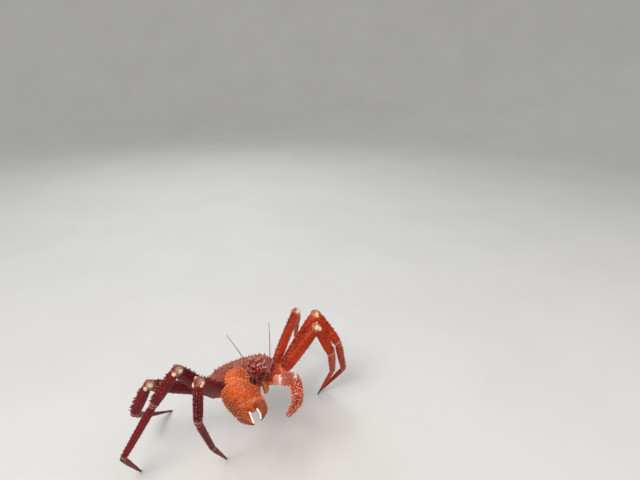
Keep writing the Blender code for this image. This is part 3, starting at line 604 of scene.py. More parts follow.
def shell_material(name, right, left, pit, tip, pale, tip_left=None, roughness=0.4, spots=0.5, cell=210.0,
                   rare=(0.35, 0.6), grain=1.0, tip_from=0.45, pit_strength=0.7, coat=0.15,
                   mottle=(0.6, 0.5, 0.55), specular=0.25):
    """Shell whose colours run from the right side's to the left side's, with dark pits and pale tips."""
    look = Look(name)
    # the blend from the right side's colour to the left side's; on the legs the right side's darker colour
    # is painted shade
    across = look.add("SeparateXYZ", {0: look.place})["X"]
    side = look.ramp(across, -0.125, 0.035)
    colour = look.mix(side, right, left)

    # broad clouds, painted shade on the claw's outer side and fingers with the fingers' own darker colour,
    # fine grain
    clouds = look.ramp(look.noise(32.0, 4.0), 0.32, 0.66)
    colour = look.mix(clouds, look.times(colour, mottle), colour)
    deep = look.mark("deep")
    colour = look.mix(deep, colour, look.times(colour, SHADED))
    fine = look.noise(420.0, 5.0)
    colour = look.mix(look.ramp(fine, 0.45, 0.62), colour, look.times(colour, GRAIN))

    # a dark dot in some of the cells
    cells = look.add("TexVoronoi", {"Vector": look.place, "Scale": cell})
    dots = look.maths("SUBTRACT", 1.0, look.ramp(cells["Distance"], 0.10, 0.26))
    dots = look.maths("MULTIPLY", dots, look.ramp(cells["Color"], *rare))
    dots = look.maths("MULTIPLY", dots, spots)
    colour = look.mix(dots, colour, pit)

    # dark feet and pale tips of the spines, pale rims and the painted highlight on the knee lobes, dark
    # nails
    foot = look.maths("MULTIPLY", look.ramp(look.mark("halo"), 0.15, 0.75), pit_strength)
    colour = look.mix(foot, colour, pit)
    point = look.mix(side, tip, tip_left or tip)
    point = look.mix(look.maths("MULTIPLY", deep, 0.7), point, pale)
    colour = look.mix(look.ramp(look.mark("tip"), tip_from, 0.95), colour, point)
    colour = look.mix(look.mark("pale"), colour, pale)
    dark = look.maths("MULTIPLY", look.ramp(look.mark("smooth"), 0.1, 1.0), 0.92)
    colour = look.mix(dark, colour, NAIL)

    gloss = look.add("MapRange", {"Value": fine, "To Min": roughness - 0.08, "To Max": roughness + 0.14})
    pores = look.maths("MULTIPLY", dots, -0.8)
    height = look.maths("ADD", look.noise(900.0, 3.0), pores)
    inputs = {"Base Color": colour, "Roughness": gloss["Result"], "Specular IOR Level": specular,
              "Coat Weight": coat, "Coat Roughness": 0.25}
    return look.finish(inputs, height, 0.35 * grain, 0.0005)


def plain_material(name, colour, roughness, grain_scale, bump_height, coat=0.0, variation=0.85):
    """A simpler surface: one colour with soft variation and a fine grain."""
    look = Look(name)
    cloud = look.noise(grain_scale, 5.0)
    darker = tuple(channel * variation for channel in colour)
    colour = look.mix(look.ramp(cloud, 0.35, 0.65), darker, colour)
    inputs = {"Base Color": colour, "Roughness": roughness, "Coat Weight": coat}
    return look.finish(inputs, cloud, 0.3, bump_height)


# The right legs' dark wine colour is painted shade, a shaded copy of the left legs' orange-red.
LEG = shell_material(
    "leg_shell", right=(0.185, 0.008, 0.012), left=(0.50, 0.042, 0.008),
    pit=(0.035, 0.006, 0.008), tip=(0.70, 0.42, 0.38), tip_left=(0.66, 0.24, 0.12),
    # the pale colour also paints the highlight on the knee lobes
    pale=(0.92, 0.74, 0.48), spots=0.9, cell=190.0, rare=(0.2, 0.5), pit_strength=0.95,
    coat=0.0, specular=0.16)
CLAW = shell_material(
    "claw_shell", right=(0.76, 0.135, 0.020), left=(0.62, 0.085, 0.016),
    pit=(0.15, 0.014, 0.007), tip=(0.86, 0.24, 0.075), pale=(0.74, 0.34, 0.22),
    spots=1.0, cell=150.0, rare=(0.1, 0.25), tip_from=0.2, pit_strength=0.5,
    grain=1.3, mottle=(0.66, 0.56, 0.5))
SMALL_CLAW = shell_material(
    "small_claw_shell", right=(0.74, 0.125, 0.018), left=(0.74, 0.125, 0.018),
    pit=(0.16, 0.008, 0.010), tip=(0.94, 0.62, 0.46), pale=(0.92, 0.62, 0.52),
    roughness=0.3, spots=1.0, cell=230.0, rare=(0.1, 0.4), tip_from=0.3,
    pit_strength=0.85, coat=0.4, mottle=(0.7, 0.5, 0.5))
SMALL_WRIST = shell_material(
    "small_wrist_shell", right=(0.52, 0.13, 0.065), left=(0.52, 0.13, 0.065),
    pit=(0.30, 0.015, 0.012), tip=(0.86, 0.26, 0.15), pale=(0.92, 0.66, 0.58),
    spots=0.4, tip_from=0.1, pit_strength=0.8, coat=0.3)
SHELL = shell_material(
    "carapace_shell", right=(0.36, 0.110, 0.068), left=(0.40, 0.070, 0.030),
    pit=(0.10, 0.018, 0.014), tip=(0.62, 0.27, 0.20), pale=(0.60, 0.36, 0.22),
    spots=0.7, tip_from=0.1, grain=1.4)
THORN = shell_material(
    "thorn_shell", right=(0.33, 0.024, 0.020), left=(0.35, 0.026, 0.018),
    pit=(0.07, 0.008, 0.008), tip=(0.95, 0.70, 0.64), pale=(0.60, 0.36, 0.22),
    spots=0.3, tip_from=0.4, pit_strength=0.4, coat=0.3)
UNDER = shell_material(
    "underside_shell", right=(0.52, 0.15, 0.06), left=(0.54, 0.14, 0.05),
    pit=(0.22, 0.05, 0.02), tip=(0.72, 0.36, 0.20), pale=(0.76, 0.50, 0.32),
    spots=0.4, grain=0.8)
TAIL = shell_material(
    "tail_shell", right=(0.40, 0.085, 0.035), left=(0.40, 0.07, 0.025),
    pit=(0.14, 0.025, 0.015), tip=(0.66, 0.30, 0.18), pale=(0.62, 0.36, 0.22),
    spots=0.6, tip_from=0.2, pit_strength=0.6, grain=1.2)
FEELER = shell_material(
    "feeler_shell", right=(0.30, 0.07, 0.05), left=(0.32, 0.08, 0.06),
    pit=(0.12, 0.02, 0.02), tip=(0.60, 0.30, 0.22), pale=(0.60, 0.36, 0.26),
    spots=0.1, grain=0.4)
CORNEA = plain_material("cornea", (0.012, 0.009, 0.008), 0.12, 300.0, 0.0001, coat=0.6)
MEMBRANE = plain_material("joint_membrane", (0.74, 0.52, 0.40), 0.5, 350.0, 0.0004)
TOOTH = plain_material("tooth", (0.94, 0.89, 0.78), 0.3, 250.0, 0.0003, coat=0.3)
FLOOR = plain_material("studio_floor", (0.70, 0.69, 0.67), 0.7, 3.0, 0.0002, variation=0.97)

membranes = Piece()
# How far a segment runs past its joints and how large the cuff in a joint is, as shares of the section
PAST_JOINT, CUFF = 0.75, 0.9


def add_membrane(joint, before, after, side, width, height):
    """A soft cuff that fills the inside of a joint."""
    axis = unit(before + after)
    up = unit(np.cross(axis, side))
    membranes.add(*lobe(joint, (0.7 * width, width, height), (axis, np.cross(up, axis), up)))


def joints_of(side, root, base, turns, lengths):
    """The joints along a limb: its root in the body, its base and what the turns lead to."""
    joints = [on_body(anterior, SIDES[side] * left, dorsal) for anterior, left, dorsal in (root, base)]
    for (azimuth, elevation), length in zip(turns, lengths):
        joints.append(joints[-1] + direction(azimuth, elevation) * length)
    return joints


def segments(joints, profiles, seed):
    """Each segment along the joints: its limb, how far it runs past its joints, its random numbers.

    The joints between the segments get their cuffs on the way.
    """
    axes = [unit(b - a) for a, b in zip(joints, joints[1:])]
    across = unit(np.cross((0, 0, 1), axes[0]))
    for i, profile in enumerate(profiles):
        (_, first_wide, first_high), (_, _, last_high) = profile[0], profile[-1]
        if i:
            across = turned(across, axes[i - 1], axes[i])
            add_membrane(joints[i], axes[i - 1], axes[i], across, CUFF * first_wide, CUFF * first_high)
        run = (PAST_JOINT * first_high if i else 0.0, PAST_JOINT * last_high)
        yield Limb(joints[i], joints[i + 1], across, profile), run, np.random.RandomState(seed * 10 + i)


def make_leg(place, side, seed):
    """A walking leg, with the lobes of its knee and its dark nail."""
    *turns, foot_azimuth = LEG_POSE[place, side]
    joints = joints_of(side, LEG_ROOT[place], LEG_BASE[place], turns, LEG_LENGTH[place])
    # the dactyl comes down to the floor
    reach = LEG_LENGTH[place][3]
    drop = math.degrees(math.asin(joints[4][2] / reach))
    joints.append(joints[4] + direction(foot_azimuth, -drop) * reach)
    chain = segments(joints, [PROFILES[part] for part in LEG_RINGS], seed)
    for part, (limb, (before, after), rng) in zip(LEG_RINGS, chain):
        nail = part == "dactyl"
        rims = [] if nail else [FAR_RIM]
        rims += [] if part == "coxa" else [NEAR_RIM]
        piece = Piece()
        add_limb(piece, limb, LEG_RINGS[part], rng, (before, 3.0 if nail else after), ROWS.get(part, ()),
                 rims=rims, nail=nail, knee=part == "merus")
        if part in KNEE_LOBES:
            for angle in KNOB_ANGLES:
                add_condyle(piece, limb, angle, *KNEE_LOBES[part])
        name = "leg_%s_%s_%s" % (place, side, part)
        piece.build(name + "_shell", [name], LEG, "leg")


def claw_limb(side, wrist, palm_end):
    """The palm's limb, rolled so that the movable finger's edge is turned up."""
    axis = unit(palm_end - wrist)
    inward = LEFT * -SIDES[side]
    level = unit(inward - axis * np.dot(inward, axis))
    over = np.cross(axis, level)
    over = over if over[2] > 0 else -over
    roll = math.radians(CLAW_STYLE[side].roll)
    return Limb(wrist, palm_end, level * math.cos(roll) + over * math.sin(roll), PALM[side])


def scattered(limb, first, last, step, rng):
    """Places spread evenly round a palm or finger, jittered."""
    t, angle = [], []
    rows = max(2, int(limb.length * (last - first) / step))
    for i in range(rows):
        at = first + (last - first) * (i + 0.5) / rows
        wide, high, _ = limb.section(np.array(at))
        count = max(2, int(math.pi * (wide + high) / step))
        for k in range(count):
            t.append(at + rng.uniform(-0.35, 0.35) * step / limb.length)
            angle.append(360 * (k + 0.5 * (i % 2) + 0.25 + rng.uniform(-0.3, 0.3)) / count)
    return np.array(t), np.array(angle)


def crest_marks(side, limb, t, turn):
    """Height and paleness of the palm's two crests, behind the movable finger and at the wrist."""
    height = pale = 0.0
    facing = np.clip(1.5 * (np.cos(turn) + 0.35), 0, 1)
    for place, (width, tall, paleness), round_it in ((HINGE[side] - 0.03, CLAW_STYLE[side].hinge, facing),
                                                     (0.05, CLAW_STYLE[side].wrist, np.ones(len(turn)))):
        crest = bell((t - place) * limb.length / width)[:, None] * round_it[None]
        height, pale = height + tall * crest, pale + paleness * crest
    return height, np.clip(pale, 0, 1)


def shade_and_finger_tone_marks(style, kind, t, turn):
    """How dark the claw's shell is painted: painted shade towards its outer edge, and along its fingers
    painted shade with their own darker colour.
    """
    t, turn = np.broadcast_arrays(t, turn)
    outer = np.clip((-np.cos(turn) - 0.35) / 0.6, 0, 1)
    if kind == "palm":
        return style.palm_painted_shade * outer * np.clip(0.4 + t, 0, 1)
    if kind == "movable":
        outer = np.full(t.shape, 0.5)
    return style.finger_shade_and_tone + 0.25 * outer


def palm_nodules(side, limb, rng):
    """Places, lengths and radii of the nodules over the palm, thick along its crests."""
    style = CLAW_STYLE[side]
    at, angle = scattered(limb, 0.12, HINGE[side] - 0.02, style.step, rng)
    length = np.where(np.sin(np.radians(angle)) > -0.3, 3.0, 1.6) * rng.uniform(0.7, 1.35, len(at))
    radius = np.full(len(at), style.palm_radius)
    for place, low, high, tall in ((HINGE[side] - 0.025, -70, 100, 2.6), (0.06, -50, 230, 3.0)):
        row = np.arange(low, high, style.row_step)
        at = np.append(at, place + rng.uniform(-0.01, 0.01, len(row)))
        angle = np.append(angle, row + rng.uniform(-3, 3, len(row)))
        length = np.append(length, tall * rng.uniform(0.8, 1.3, len(row)))
        radius = np.append(radius, np.full(len(row), 1.7))
    return at, angle, length, radius


def finger_nodules(side, kind, limb, rng):
    """Places, lengths and radii of the nodules on a finger, none on the edge that bites."""
    style = CLAW_STYLE[side]
    first, last = limb.profile[0][0], limb.profile[-1][0]
    at, angle = scattered(limb, first + 0.03, last - 0.1, style.step * 0.8, rng)
    outer = np.cos(np.radians(angle)) * (1 if kind == "fixed" else -1) <= 0.55
    at, angle = at[outer], angle[outer]
    fade = np.clip((last - at) / style.fade, 0.4, 1)
    return at, angle, 2.6 * fade * rng.uniform(0.7, 1.3, len(at)), style.finger_radius * fade**0.5


def add_teeth(teeth, side, kind, limb, rng):
    """Blunt white teeth along the edge that faces the other finger."""
    style = CLAW_STYLE[side]
    first, last = limb.profile[0][0], limb.profile[-1][0]
    for n in range(TEETH):
        share = style.teeth_from + (0.96 - style.teeth_from) * (n + 0.5) / TEETH
        place = first + (last - first) * share
        size = style.tooth * (1 - 0.45 * n / TEETH) * rng.uniform(0.85, 1.1)
        size = min(size, 0.9 * float(limb.section(np.array(place))[0]))
        centre = limb.points(place, 26 if kind == "fixed" else 154, 0.88)
        tooth = lobe(centre, (size, 0.75 * size, 0.8 * size), (limb.axis, limb.side, limb.up))
        teeth.add(*tooth, pale=1.0)


def make_claw(side, wrist, palm_end, seed):
    """The palm with its fixed finger, and the movable finger, with nodules and teeth."""
    style = CLAW_STYLE[side]
    hand = claw_limb(side, wrist, palm_end)
    rng = np.random.RandomState(seed)
    palm, finger, teeth = Piece(), Piece(), Piece()
    for kind, profile, rows, before, after in (("palm", PALM[side], 46, style.wrist_round, 2.5),
                                               ("fixed", FIXED_FINGER[side], 44, 8.0, 0.5),
                                               ("movable", MOVABLE_FINGER[side], 44, 0.0, 0.5)):
        limb = Limb(hand.start, hand.end, hand.side, profile)
        first, last = profile[0][0], profile[-1][0]
        t, swell = rounded(np.linspace(first, last, rows), before / limb.length, after / limb.length, 9, 0.1)
        turn = circle(style.around)
        rings = limb.points(t[:, None], np.degrees(turn)[None], swell[:, None])
        amount = 0.6 * rough(rings, 0.06) + 0.3 * rough(rings, 0.22)
        pale = np.zeros(rings.shape[:2])
        smooth = np.zeros(len(t))
        if kind == "palm":
            crest, pale = crest_marks(side, limb, t, turn)
            pale = pale * np.clip(0.8 + 0.9 * rough(rings, 0.3), 0, 1)
            amount = amount + crest
            at, angle, length, radius = palm_nodules(side, limb, rng)
        else:
            smooth = 0.6 * np.clip((t - last + 0.12) / 0.12, 0, 1)
            at, angle, length, radius = finger_nodules(side, kind, limb, rng)
        if style.uneven:
            radius = radius * rng.uniform(*style.uneven, len(radius))
        thin = np.clip(limb.section(t)[0] / 6, 0, 1)
        shell = surface(grown(rings, amount * (swell * thin)[:, None]))
        roots = limb.points(at, angle)
        outs = limb.outward(at, angle) + limb.axis * 0.3 + rng.normal(0, 0.07, (len(at), 3))
        halo = halo_of(shell[0], roots, style.halo * radius)
        # painted shade on the outer edge and the fingers, with the fingers' own darker colour
        deep = shade_and_finger_tone_marks(style, kind, t[:, None], turn[None])
        target = finger if kind == "movable" else palm
        target.add(*shell, halo=halo, pale=np.append(pale, (0.0, 0.0)), deep=np.append(deep, (0.5, 0.5)),
                   smooth=np.append(np.repeat(smooth, style.around), (0.0, smooth[-1])))
        deep = shade_and_finger_tone_marks(style, kind, at, np.radians(angle))
        uv = on_map((angle % 360) / 360, np.clip((at - first) / (last - first), 0, 1))
        add_spines(target, roots, outs, length, radius, uv, deep=deep)
        if kind != "palm":
            add_teeth(teeth, side, kind, limb, rng)
    shell = CLAW if side == "right" else SMALL_CLAW
    palm.build("claw_%s_palm_shell" % side, ["claw_%s_palm" % side], shell, "claw")
    finger.build("claw_%s_finger_shell" % side, ["claw_%s_finger" % side], shell, "claw")
    teeth.build("claw_%s_teeth" % side, [], TOOTH, "claw")


def make_arm(side, seed):
    """The arm of a claw, up to its wrist, and the claw."""
    joints = joints_of(side, ARM_ROOT, ARM_BASE, ARM_POSE[side], ARM_LENGTH[side])
    width, paleness = CLAW_STYLE[side].arm_rims
    profiles = [PROFILES[name] for name in ("arm_coxa", "arm_merus", side + "_carpus")]
    for part, (limb, run, rng) in zip(ARM_PARTS, segments(joints, profiles, seed)):
        rims = [(0.95, width, 0.9, 0.3 if part == "coxa" else paleness)]
        if part != "coxa":
            rims.append((0.05, width, 0.5, paleness if part == "carpus" else 0.15))
        piece = Piece()
        add_limb(piece, limb, ARM_RINGS, rng, run, ROWS.get("%s_%s" % (side, part), ()), rims=rims)
        shell = CLAW if side == "right" else SMALL_WRIST if part == "carpus" else SMALL_CLAW
        name = "claw_%s_%s" % (side, part)
        piece.build(name + "_shell", [name], shell, "claw")
    wrist, palm_end = joints[3], joints[4]
    add_membrane(wrist, limb.axis, unit(palm_end - wrist), limb.side, 8.5, 8.5)
    make_claw(side, wrist, palm_end, seed * 10 + 7)


def region_height(anterior, left):
    """How far the regions stand out over a place."""
    height = np.zeros(np.broadcast(anterior, left).shape)
    for at, aside, reach, tall in REGIONS:
        for sign in mirrored(aside):
            away = ((anterior - at) ** 2 + (left - sign * aside) ** 2) / reach**2
            height = height + tall * np.exp(-(away**1.5))
    return height


def furrow(anterior, left):
    """The furrows that part the regions, 1 in the middle of one."""
    wide, none = 2.6, 9.0
    aside = np.abs(left)
    neck = np.abs(anterior - (14 + 0.42 * aside**1.05)) / wide
    flank = np.abs(aside - (17 + 0.10 * np.abs(anterior + 14))) / wide
    rear = np.abs(anterior - (-36 - 0.15 * aside)) / wide
    neck = np.where(aside < 52, neck, none)
    flank = np.where((anterior < 14) & (anterior > -48), flank, none)
    rear = np.where(aside < 22, rear, none)
    return bell(np.minimum(np.minimum(neck, flank), rear))


def shell_top(anterior, left):
    """The top of the carapace over places in its plan, with its regions."""
    anterior, left = np.asarray(anterior), np.asarray(left)
    values = spline(CARAPACE, anterior)
    half, height = values[..., 0], values[..., 1]
    turn = np.arccos(np.clip(np.abs(left) / half, 0, 1) ** (1 / CORNER))
    rise = np.sin(turn) ** CORNER
    relief = (region_height(anterior, left) - 2.0 - 1.6 * furrow(anterior, left)) * rise
    return on_body(anterior, left, MARGIN + height * rise + relief)


def shell_half(anterior):
    """The carapace's half width at one place along it."""
    return float(spline(CARAPACE, anterior)[0])


def arch(count):
    """Fractions across and down an arch with squared shoulders."""
    turn = math.pi * np.linspace(0, 1, count)
    return np.sign(np.cos(turn)) * np.abs(np.cos(turn)) ** CORNER, np.sin(turn) ** CORNER


def dorsal_thorns(rng):
    """Root, direction, length and radius of the thorns on the back, in coarse rows and fine ones."""
    low, high = CARAPACE[0][0], CARAPACE[-1][0]
    for step, tall, wide, edge in ((11.0, 5.6, 2.1, 0.9), (5.0, 2.5, 1.2, 0.97)):
        coarse = step > 8
        for row in range(1, int((high - low) / step) + 1):
            at = low + (row + 0.3) * step - (0 if coarse else 0.5 * step)
            if at > high - 2:
                continue
            width = edge * shell_half(at)
            count = max(2, int(round(2 * width / step)) + row % 2)
            for k in range(count):
                left = width * (2 * (k + 0.5) / count - 1) + rng.uniform(-0.3, 0.3) * step
                anterior = min(at + rng.uniform(-0.3, 0.3) * step, high - 1.5)
                left = float(np.clip(left, -0.98 * width, 0.98 * width))
                if not coarse and furrow(anterior, left) > 0.5:
                    continue
                inner = left + 1 if left < 0 else left - 1
                root, ahead, inward = shell_top((anterior, anterior + 1, anterior), (left, left, inner))
                normal = np.cross(ahead - root, inward - root)
                normal = -normal if np.dot(normal, DORSAL) < 0 else normal
                nose = max(0.0, (anterior - 26) / 40) if coarse else 0.0
                yield (root, unit(normal) + ANTERIOR * 0.3 + rng.normal(0, 0.08, 3),
                       tall * rng.uniform(0.7, 1.3) * (1 + 1.1 * nose), wide * rng.uniform(0.85, 1.15))


def rim_thorns(rng):
    """Root, direction, length and radius of the stouter thorns along the carapace's rim."""
    for sign in (-1.0, 1.0):
        for at in np.linspace(-64, 64, 23):
            width = shell_half(at)
            slope = width - shell_half(at + 1.0)
            yield (on_body(at, sign * 0.985 * width, MARGIN + 4 + rng.uniform(-1, 1)),
                   LEFT * sign + ANTERIOR * (slope + 0.15) + DORSAL * rng.uniform(0.05, 0.35),
                   rng.uniform(5.5, 8.5), rng.uniform(1.7, 2.1))


def make_carapace():
    """The back's shell, with its regions, furrows and thorns."""
    rows, arc, under = 150, 120, 30
    share = 0.5 - 0.5 * np.cos(math.pi * np.linspace(0, 1, rows))
    anterior = (CARAPACE[0][0] + (CARAPACE[-1][0] - CARAPACE[0][0]) * share)[:, None]
    half = spline(CARAPACE, anterior[:, 0])[:, :1]
    left = half * arch(arc)[0]
    top = shell_top(np.repeat(anterior, arc, 1), left)
    drop = np.linspace(-1, 1, under + 2)[1:-1]
    lower = on_body(anterior, half * drop * 0.99, MARGIN - 1.2 * (1 - np.abs(drop) ** 6))
    rings = np.concatenate([top, lower], axis=1)
    rings = rings + DORSAL * (0.5 * rough(rings, 0.12) + 0.25 * rough(rings, 0.4))[..., None]
    grooves = np.concatenate([furrow(anterior, left), np.zeros((rows, under))], axis=1)
    shell = surface(rings)

    rng = np.random.RandomState(5)
    roots, outs, lengths, radii = map(np.array, zip(*dorsal_thorns(rng), *rim_thorns(rng)))
    piece = Piece()
    piece.add(*shell, halo=halo_of(shell[0], roots, radii), pale=np.append(0.3 * grooves, (0.0, 0.0)))
    # the back takes the map's left half
    plan = roots - BODY_AT
    uv = np.stack([0.26 - 0.26 * (plan @ LEFT) / 70, 0.5 + 0.48 * (plan @ ANTERIOR) / 72], -1)
    add_spines(piece, roots, outs, lengths, radii, uv, sides=8)
    piece.build("carapace_shell", ["carapace"], SHELL, "shell")


def nose_thorns(beak, rng):
    """Root, direction, length and radius of the thorns on the beak, the brow and the shell's front."""
    for t, angle, lean, length in BEAK_THORNS:
        yield beak.points(t, angle, 0.85), beak.outward(t, angle) + beak.axis * lean, length, 2.3
    for at, aside, tall, lean in BROW_THORNS:
        for sign in mirrored(aside):
            anterior = at + rng.uniform(-0.8, 0.8)
            left = sign * aside + rng.uniform(-0.8, 0.8)
            yield (shell_top(anterior, left), DORSAL + LEFT * (0.012 * left) + ANTERIOR * lean,
                   tall * rng.uniform(0.9, 1.15), 2.4 if tall > 10 else 1.7)
    for aside, level, tall, spread, rise in FRONT_THORNS:
        for sign in SIDES.values():
            yield (on_body(FRONT - 0.5, sign * aside, level),
                   ANTERIOR + LEFT * (sign * spread) + DORSAL * rise, tall * rng.uniform(0.9, 1.15), 1.7)


def make_rostrum():
    """The beak and the large thorns round it."""
    rng = np.random.RandomState(9)
    piece = Piece()
    beak = Limb(on_body(FRONT - 4, 0, -1), on_body(FRONT + 24, 0, 4), LEFT, PROFILES["beak"])
    add_limb(piece, beak, 40, rng, (0.0, 3.0), around=36)
    roots, outs, lengths, radii = map(np.array, zip(*nose_thorns(beak, rng)))
    uv = np.stack([np.linspace(0.1, 0.9, len(roots)), np.full(len(roots), 0.5)], -1)
    add_spines(piece, roots, outs, lengths, radii, uv, sides=10)
    piece.build("rostrum_shell", ["rostrum"], THORN, "shell")


def make_thorax():
    """The breast and belly, with seams between the plates that carry the legs."""
    level = MARGIN - GAP
    anterior = np.linspace(THORAX[0][0], THORAX[-1][0], 70)[:, None]
    values = spline(THORAX, anterior[:, 0])
    half, height = values[:, :1], values[:, 1:]
    across, depth = arch(80)
    seams = 0.9 * bell((((anterior + 8) % 25) - 12.5) / 1.3)
    lower = on_body(anterior, half * across, level - (height - seams) * depth)
    upper = on_body(anterior, half * np.linspace(-1, 1, 26)[1:-1], level)
    rings = np.concatenate([lower, upper], axis=1)
    piece = Piece()
    piece.add(*surface(rings + DORSAL * (0.4 * rough(rings, 0.08))[..., None]))
    piece.build("thorax_shell", ["thorax"], UNDER, "underside")


def make_abdomen():
    """The tail folded under the thorax, with seams between its plates and low spines."""
    rows, around = 90, 64
    x = np.linspace(0, len(ABDOMEN) - 1, rows)
    values = spline(np.column_stack([np.arange(len(ABDOMEN)), ABDOMEN]), x)
    centres = on_body(values[:, 0], 0.0, values[:, 1])
    outs = unit(np.cross(unit(np.gradient(centres, axis=0)), LEFT))
    turn = circle(around)
    seam = bell(((x * 1.2) % 1.0 - 0.5) / 0.09)
    wide, thick = values[:, 2, None], (values[:, 3] * (1.0 - 0.16 * seam))[:, None]
    rings = (centres[:, None] + LEFT * (wide * np.cos(turn))[..., None]
             + outs[:, None] * (thick * np.sin(turn))[..., None])
    shell = surface(grown(rings, 0.4 * rough(rings, 0.1)))
    rng = np.random.RandomState(21)
    pick = rng.choice(np.arange(4 * around, 72 * around), 520, replace=False)
    facing = unit(shell[0][pick] - centres[pick // around])
    broad = np.abs(np.einsum("ij,ij->i", facing, outs[pick // around])) > 0.15
    pick, facing = pick[broad], facing[broad]
    roots = shell[0][pick]
    size = rng.uniform(0.7, 1.4, len(pick))
    piece = Piece()
    piece.add(*shell, halo=halo_of(shell[0], roots, 1.2 * size),
              pale=np.append(np.repeat(0.3 * seam, around), (0.0, 0.0)))
    uv = on_map((pick % around) / around, (pick // around) / rows)
    add_spines(piece, roots, facing, 2.4 * size, 1.3 * size, uv, sides=6)
    piece.build("abdomen_shell", ["abdomen"], TAIL, "underside")


def make_eye(side, sign):
    """A stalk with thorns round its end, and the dark cornea on it."""
    stalk = body_path(sign, FRONT + GAP, EYE_STALK)
    rings = tube_rings(stalk[:4], (2.4, 2.5, 3.3, 3.4), 24)
    piece = Piece()
    piece.add(*surface(rings))
    roots = rings[8, ::4]
    outs = unit(roots - rings[8].mean(axis=0)) + ANTERIOR * 0.8
    add_spines(piece, roots, outs, 2.6, 0.8, np.full((len(roots), 2), 0.5))
    piece.build("eye_%s_stalk" % side, [], THORN, "shell")
    forward = unit(stalk[5] - stalk[2])
    aside = unit(np.cross(forward, DORSAL))
    axes = (forward, aside, np.cross(aside, forward))
    ball = Piece()
    ball.add(*lobe((stalk[3] + stalk[4]) / 2, (4.4, 3.7, 3.7), axes, 24, 32), pale=1.0)
    ball.build("eye_%s_cornea" % side, ["eye_" + side], CORNEA, "eye")


def make_antenna(side, sign):
    """A whip that is a string of fine joints, and the thorny scale beside its root."""
    rings = tube_rings(body_path(sign, MOUTH, ANTENNA), (3.2, 3.0, 2.2, 1.2, 0.9, 0.7, 0.5), 16, steps=24)
    step = np.arange(len(rings))
    beads = np.where(step > 55, 0.05 * np.cos(step * math.pi), 0.0)
    piece = Piece()
    piece.add(*surface(grown(rings, beads[:, None])))
    scale = body_path(sign, MOUTH, ANTENNA_SCALE)
    piece.add(*surface(tube_rings(scale, (2.0, 2.4, 0.5), 16, steps=8)))
    out = LEFT * sign
    roots = scale[1] + out * np.array((0, 1, 1, 0.5))[:, None]
    ways = (DORSAL + ANTERIOR, out + ANTERIOR, DORSAL + out, out + ANTERIOR * 2)
    add_spines(piece, roots, ways, (5, 6, 5, 6), 1.3, np.full((4, 2), 0.5))
    piece.build("antenna_%s_whip" % side, ["antenna_" + side], FEELER, "feeler")


def make_antennule(side, sign):
    """A short inner feeler."""
    piece = Piece()
    piece.add(*surface(tube_rings(body_path(sign, MOUTH, ANTENNULE), (2.2, 1.8, 1.2, 0.6), 14, steps=16)))
    piece.build("antennule_%s_whip" % side, ["antennule_" + side], FEELER, "feeler")


def make_maxilliped(side, sign):
    """A jointed, bristly limb under the mouth."""
    around, steps = 28, 16
    rings = tube_rings(body_path(sign, MOUTH, MAXILLIPED), (4.8, 6.0, 5.8, 4.6, 2.2), around, steps)
    joint = -1.1 * bell(((np.arange(len(rings)) % steps) - steps / 2) / 1.6)
    rings = grown(rings, joint[:, None] + 0.25 * rough(rings, 0.3))
    shell = surface(rings)
    piece = Piece()
    piece.add(*shell)
    rng = np.random.RandomState(31 + int(sign))
    pick = rng.choice(np.arange(14 * around, 62 * around), 130, replace=False)
    roots = shell[0][pick]
    outs = unit(roots - rings.mean(axis=1)[pick // around]) + ANTERIOR * 0.4 - DORSAL * 0.3
    uv = on_map((pick % around) / around, pick / (len(rings) * around))
    add_spines(piece, roots, outs, rng.uniform(1.6, 3.4, len(pick)), 0.5, uv, sides=5)
    piece.build("maxilliped_%s_shell" % side, ["maxilliped_" + side], UNDER, "underside")


def make_crab():
    """All the pieces of the crab, and at last the cuffs in its joints."""
    make_carapace()
    make_rostrum()
    make_thorax()
    make_abdomen()
    for side, sign in SIDES.items():
        make_eye(side, sign)
        make_antenna(side, sign)
        make_antennule(side, sign)
        make_maxilliped(side, sign)
    for number, side in enumerate(SIDES):
        make_arm(side, 40 + number)
        for index, place in enumerate(PLACES):
            make_leg(place, side, 60 + 10 * number + index)
    membranes.build("joint_membranes", [], MEMBRANE, "underside")


make_crab()

# Studio, in metres: how far the floor is level, the radius of its bend and the top of the wall
LEVEL_REACH, BEND, WALL_TOP = 3.4, 1.6, 3.4
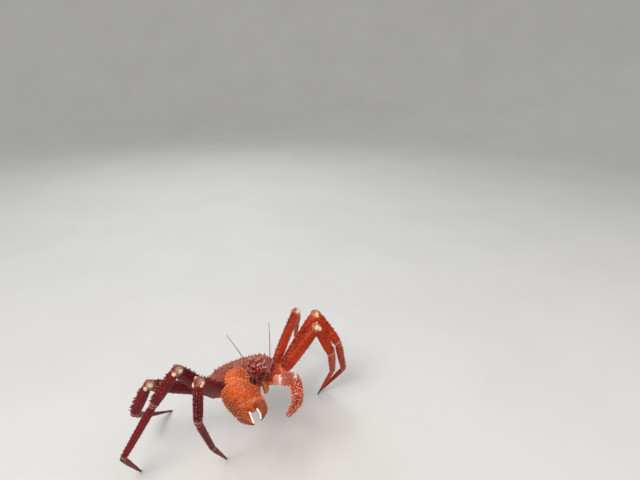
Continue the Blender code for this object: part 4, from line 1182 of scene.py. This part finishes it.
# Soft lights: place, size, watts and colour, all aimed at the crab
LIGHTS = {
    "key": ((-1.3, -1.0, 2.3), 1.1, 52, (1.0, 0.97, 0.93)),
    "fill": ((1.8, -1.5, 1.5), 1.8, 14, (1.0, 0.96, 0.92)),
    "back": ((0.6, 2.2, 2.0), 1.4, 20, (0.93, 0.97, 1.0)),
}
LIT_AT = Vector((0, 0, 0.1))
CAMERA_AT = (-0.2813, -0.7906, 0.770)
CAMERA_TURN = (68.0, 0.0, -31.0)


def make_floor():
    """A plain floor that curves up into a wall all round."""
    outline = [(1.2, 0.0), (2.4, 0.0), (LEVEL_REACH, 0.0)]
    for step in range(1, 13):
        turn = math.radians(90 * step / 12)
        outline.append((LEVEL_REACH + BEND * math.sin(turn), BEND * (1 - math.cos(turn))))
    outline.append((LEVEL_REACH + BEND, WALL_TOP))
    around = 96
    verts, faces = [(0.0, 0.0, 0.0)], []
    for ring, (radius, height) in enumerate(outline):
        verts += [(radius * math.cos(turn), radius * math.sin(turn), height) for turn in circle(around)]
        low, high = 1 + (ring - 1) * around, 1 + ring * around
        for k in range(around):
            j = (k + 1) % around
            faces.append((high + k, high + j, low + j, low + k) if ring else (0, 1 + k, 1 + j))
    mesh = bpy.data.meshes.new("studio_floor")
    mesh.from_pydata(verts, [], faces)
    mesh.polygons.foreach_set("use_smooth", [True] * len(mesh.polygons))
    mesh.materials.append(FLOOR)
    floor = put("studio_floor", mesh)


def make_lights():
    """Three soft lights and a pale sky."""
    for name, (place, size, watts, colour) in LIGHTS.items():
        light = bpy.data.lights.new(name, "AREA")
        light.energy, light.size, light.color = watts, size, colour
        obj = put(name, light)
        obj.location = place
        obj.rotation_euler = (LIT_AT - Vector(place)).to_track_quat("-Z", "Y").to_euler()
    world = bpy.data.worlds.new("studio")
    bpy.context.scene.world = world
    world.use_nodes = True
    background = world.node_tree.nodes["Background"]
    background.inputs["Color"].default_value = (0.93, 0.96, 1.0, 1.0)
    background.inputs["Strength"].default_value = 0.5
    bpy.context.scene.view_settings.view_transform = "Standard"


def make_camera():
    """The photograph's view."""
    camera = bpy.data.cameras.new("camera")
    camera.lens, camera.sensor_width = 27.06, 36.0
    camera.clip_start, camera.clip_end = 0.01, 50.0
    obj = put("camera", camera)
    obj.location = CAMERA_AT
    obj.rotation_euler = tuple(math.radians(angle) for angle in CAMERA_TURN)
    bpy.context.scene.camera = obj


make_floor()
make_lights()
make_camera()
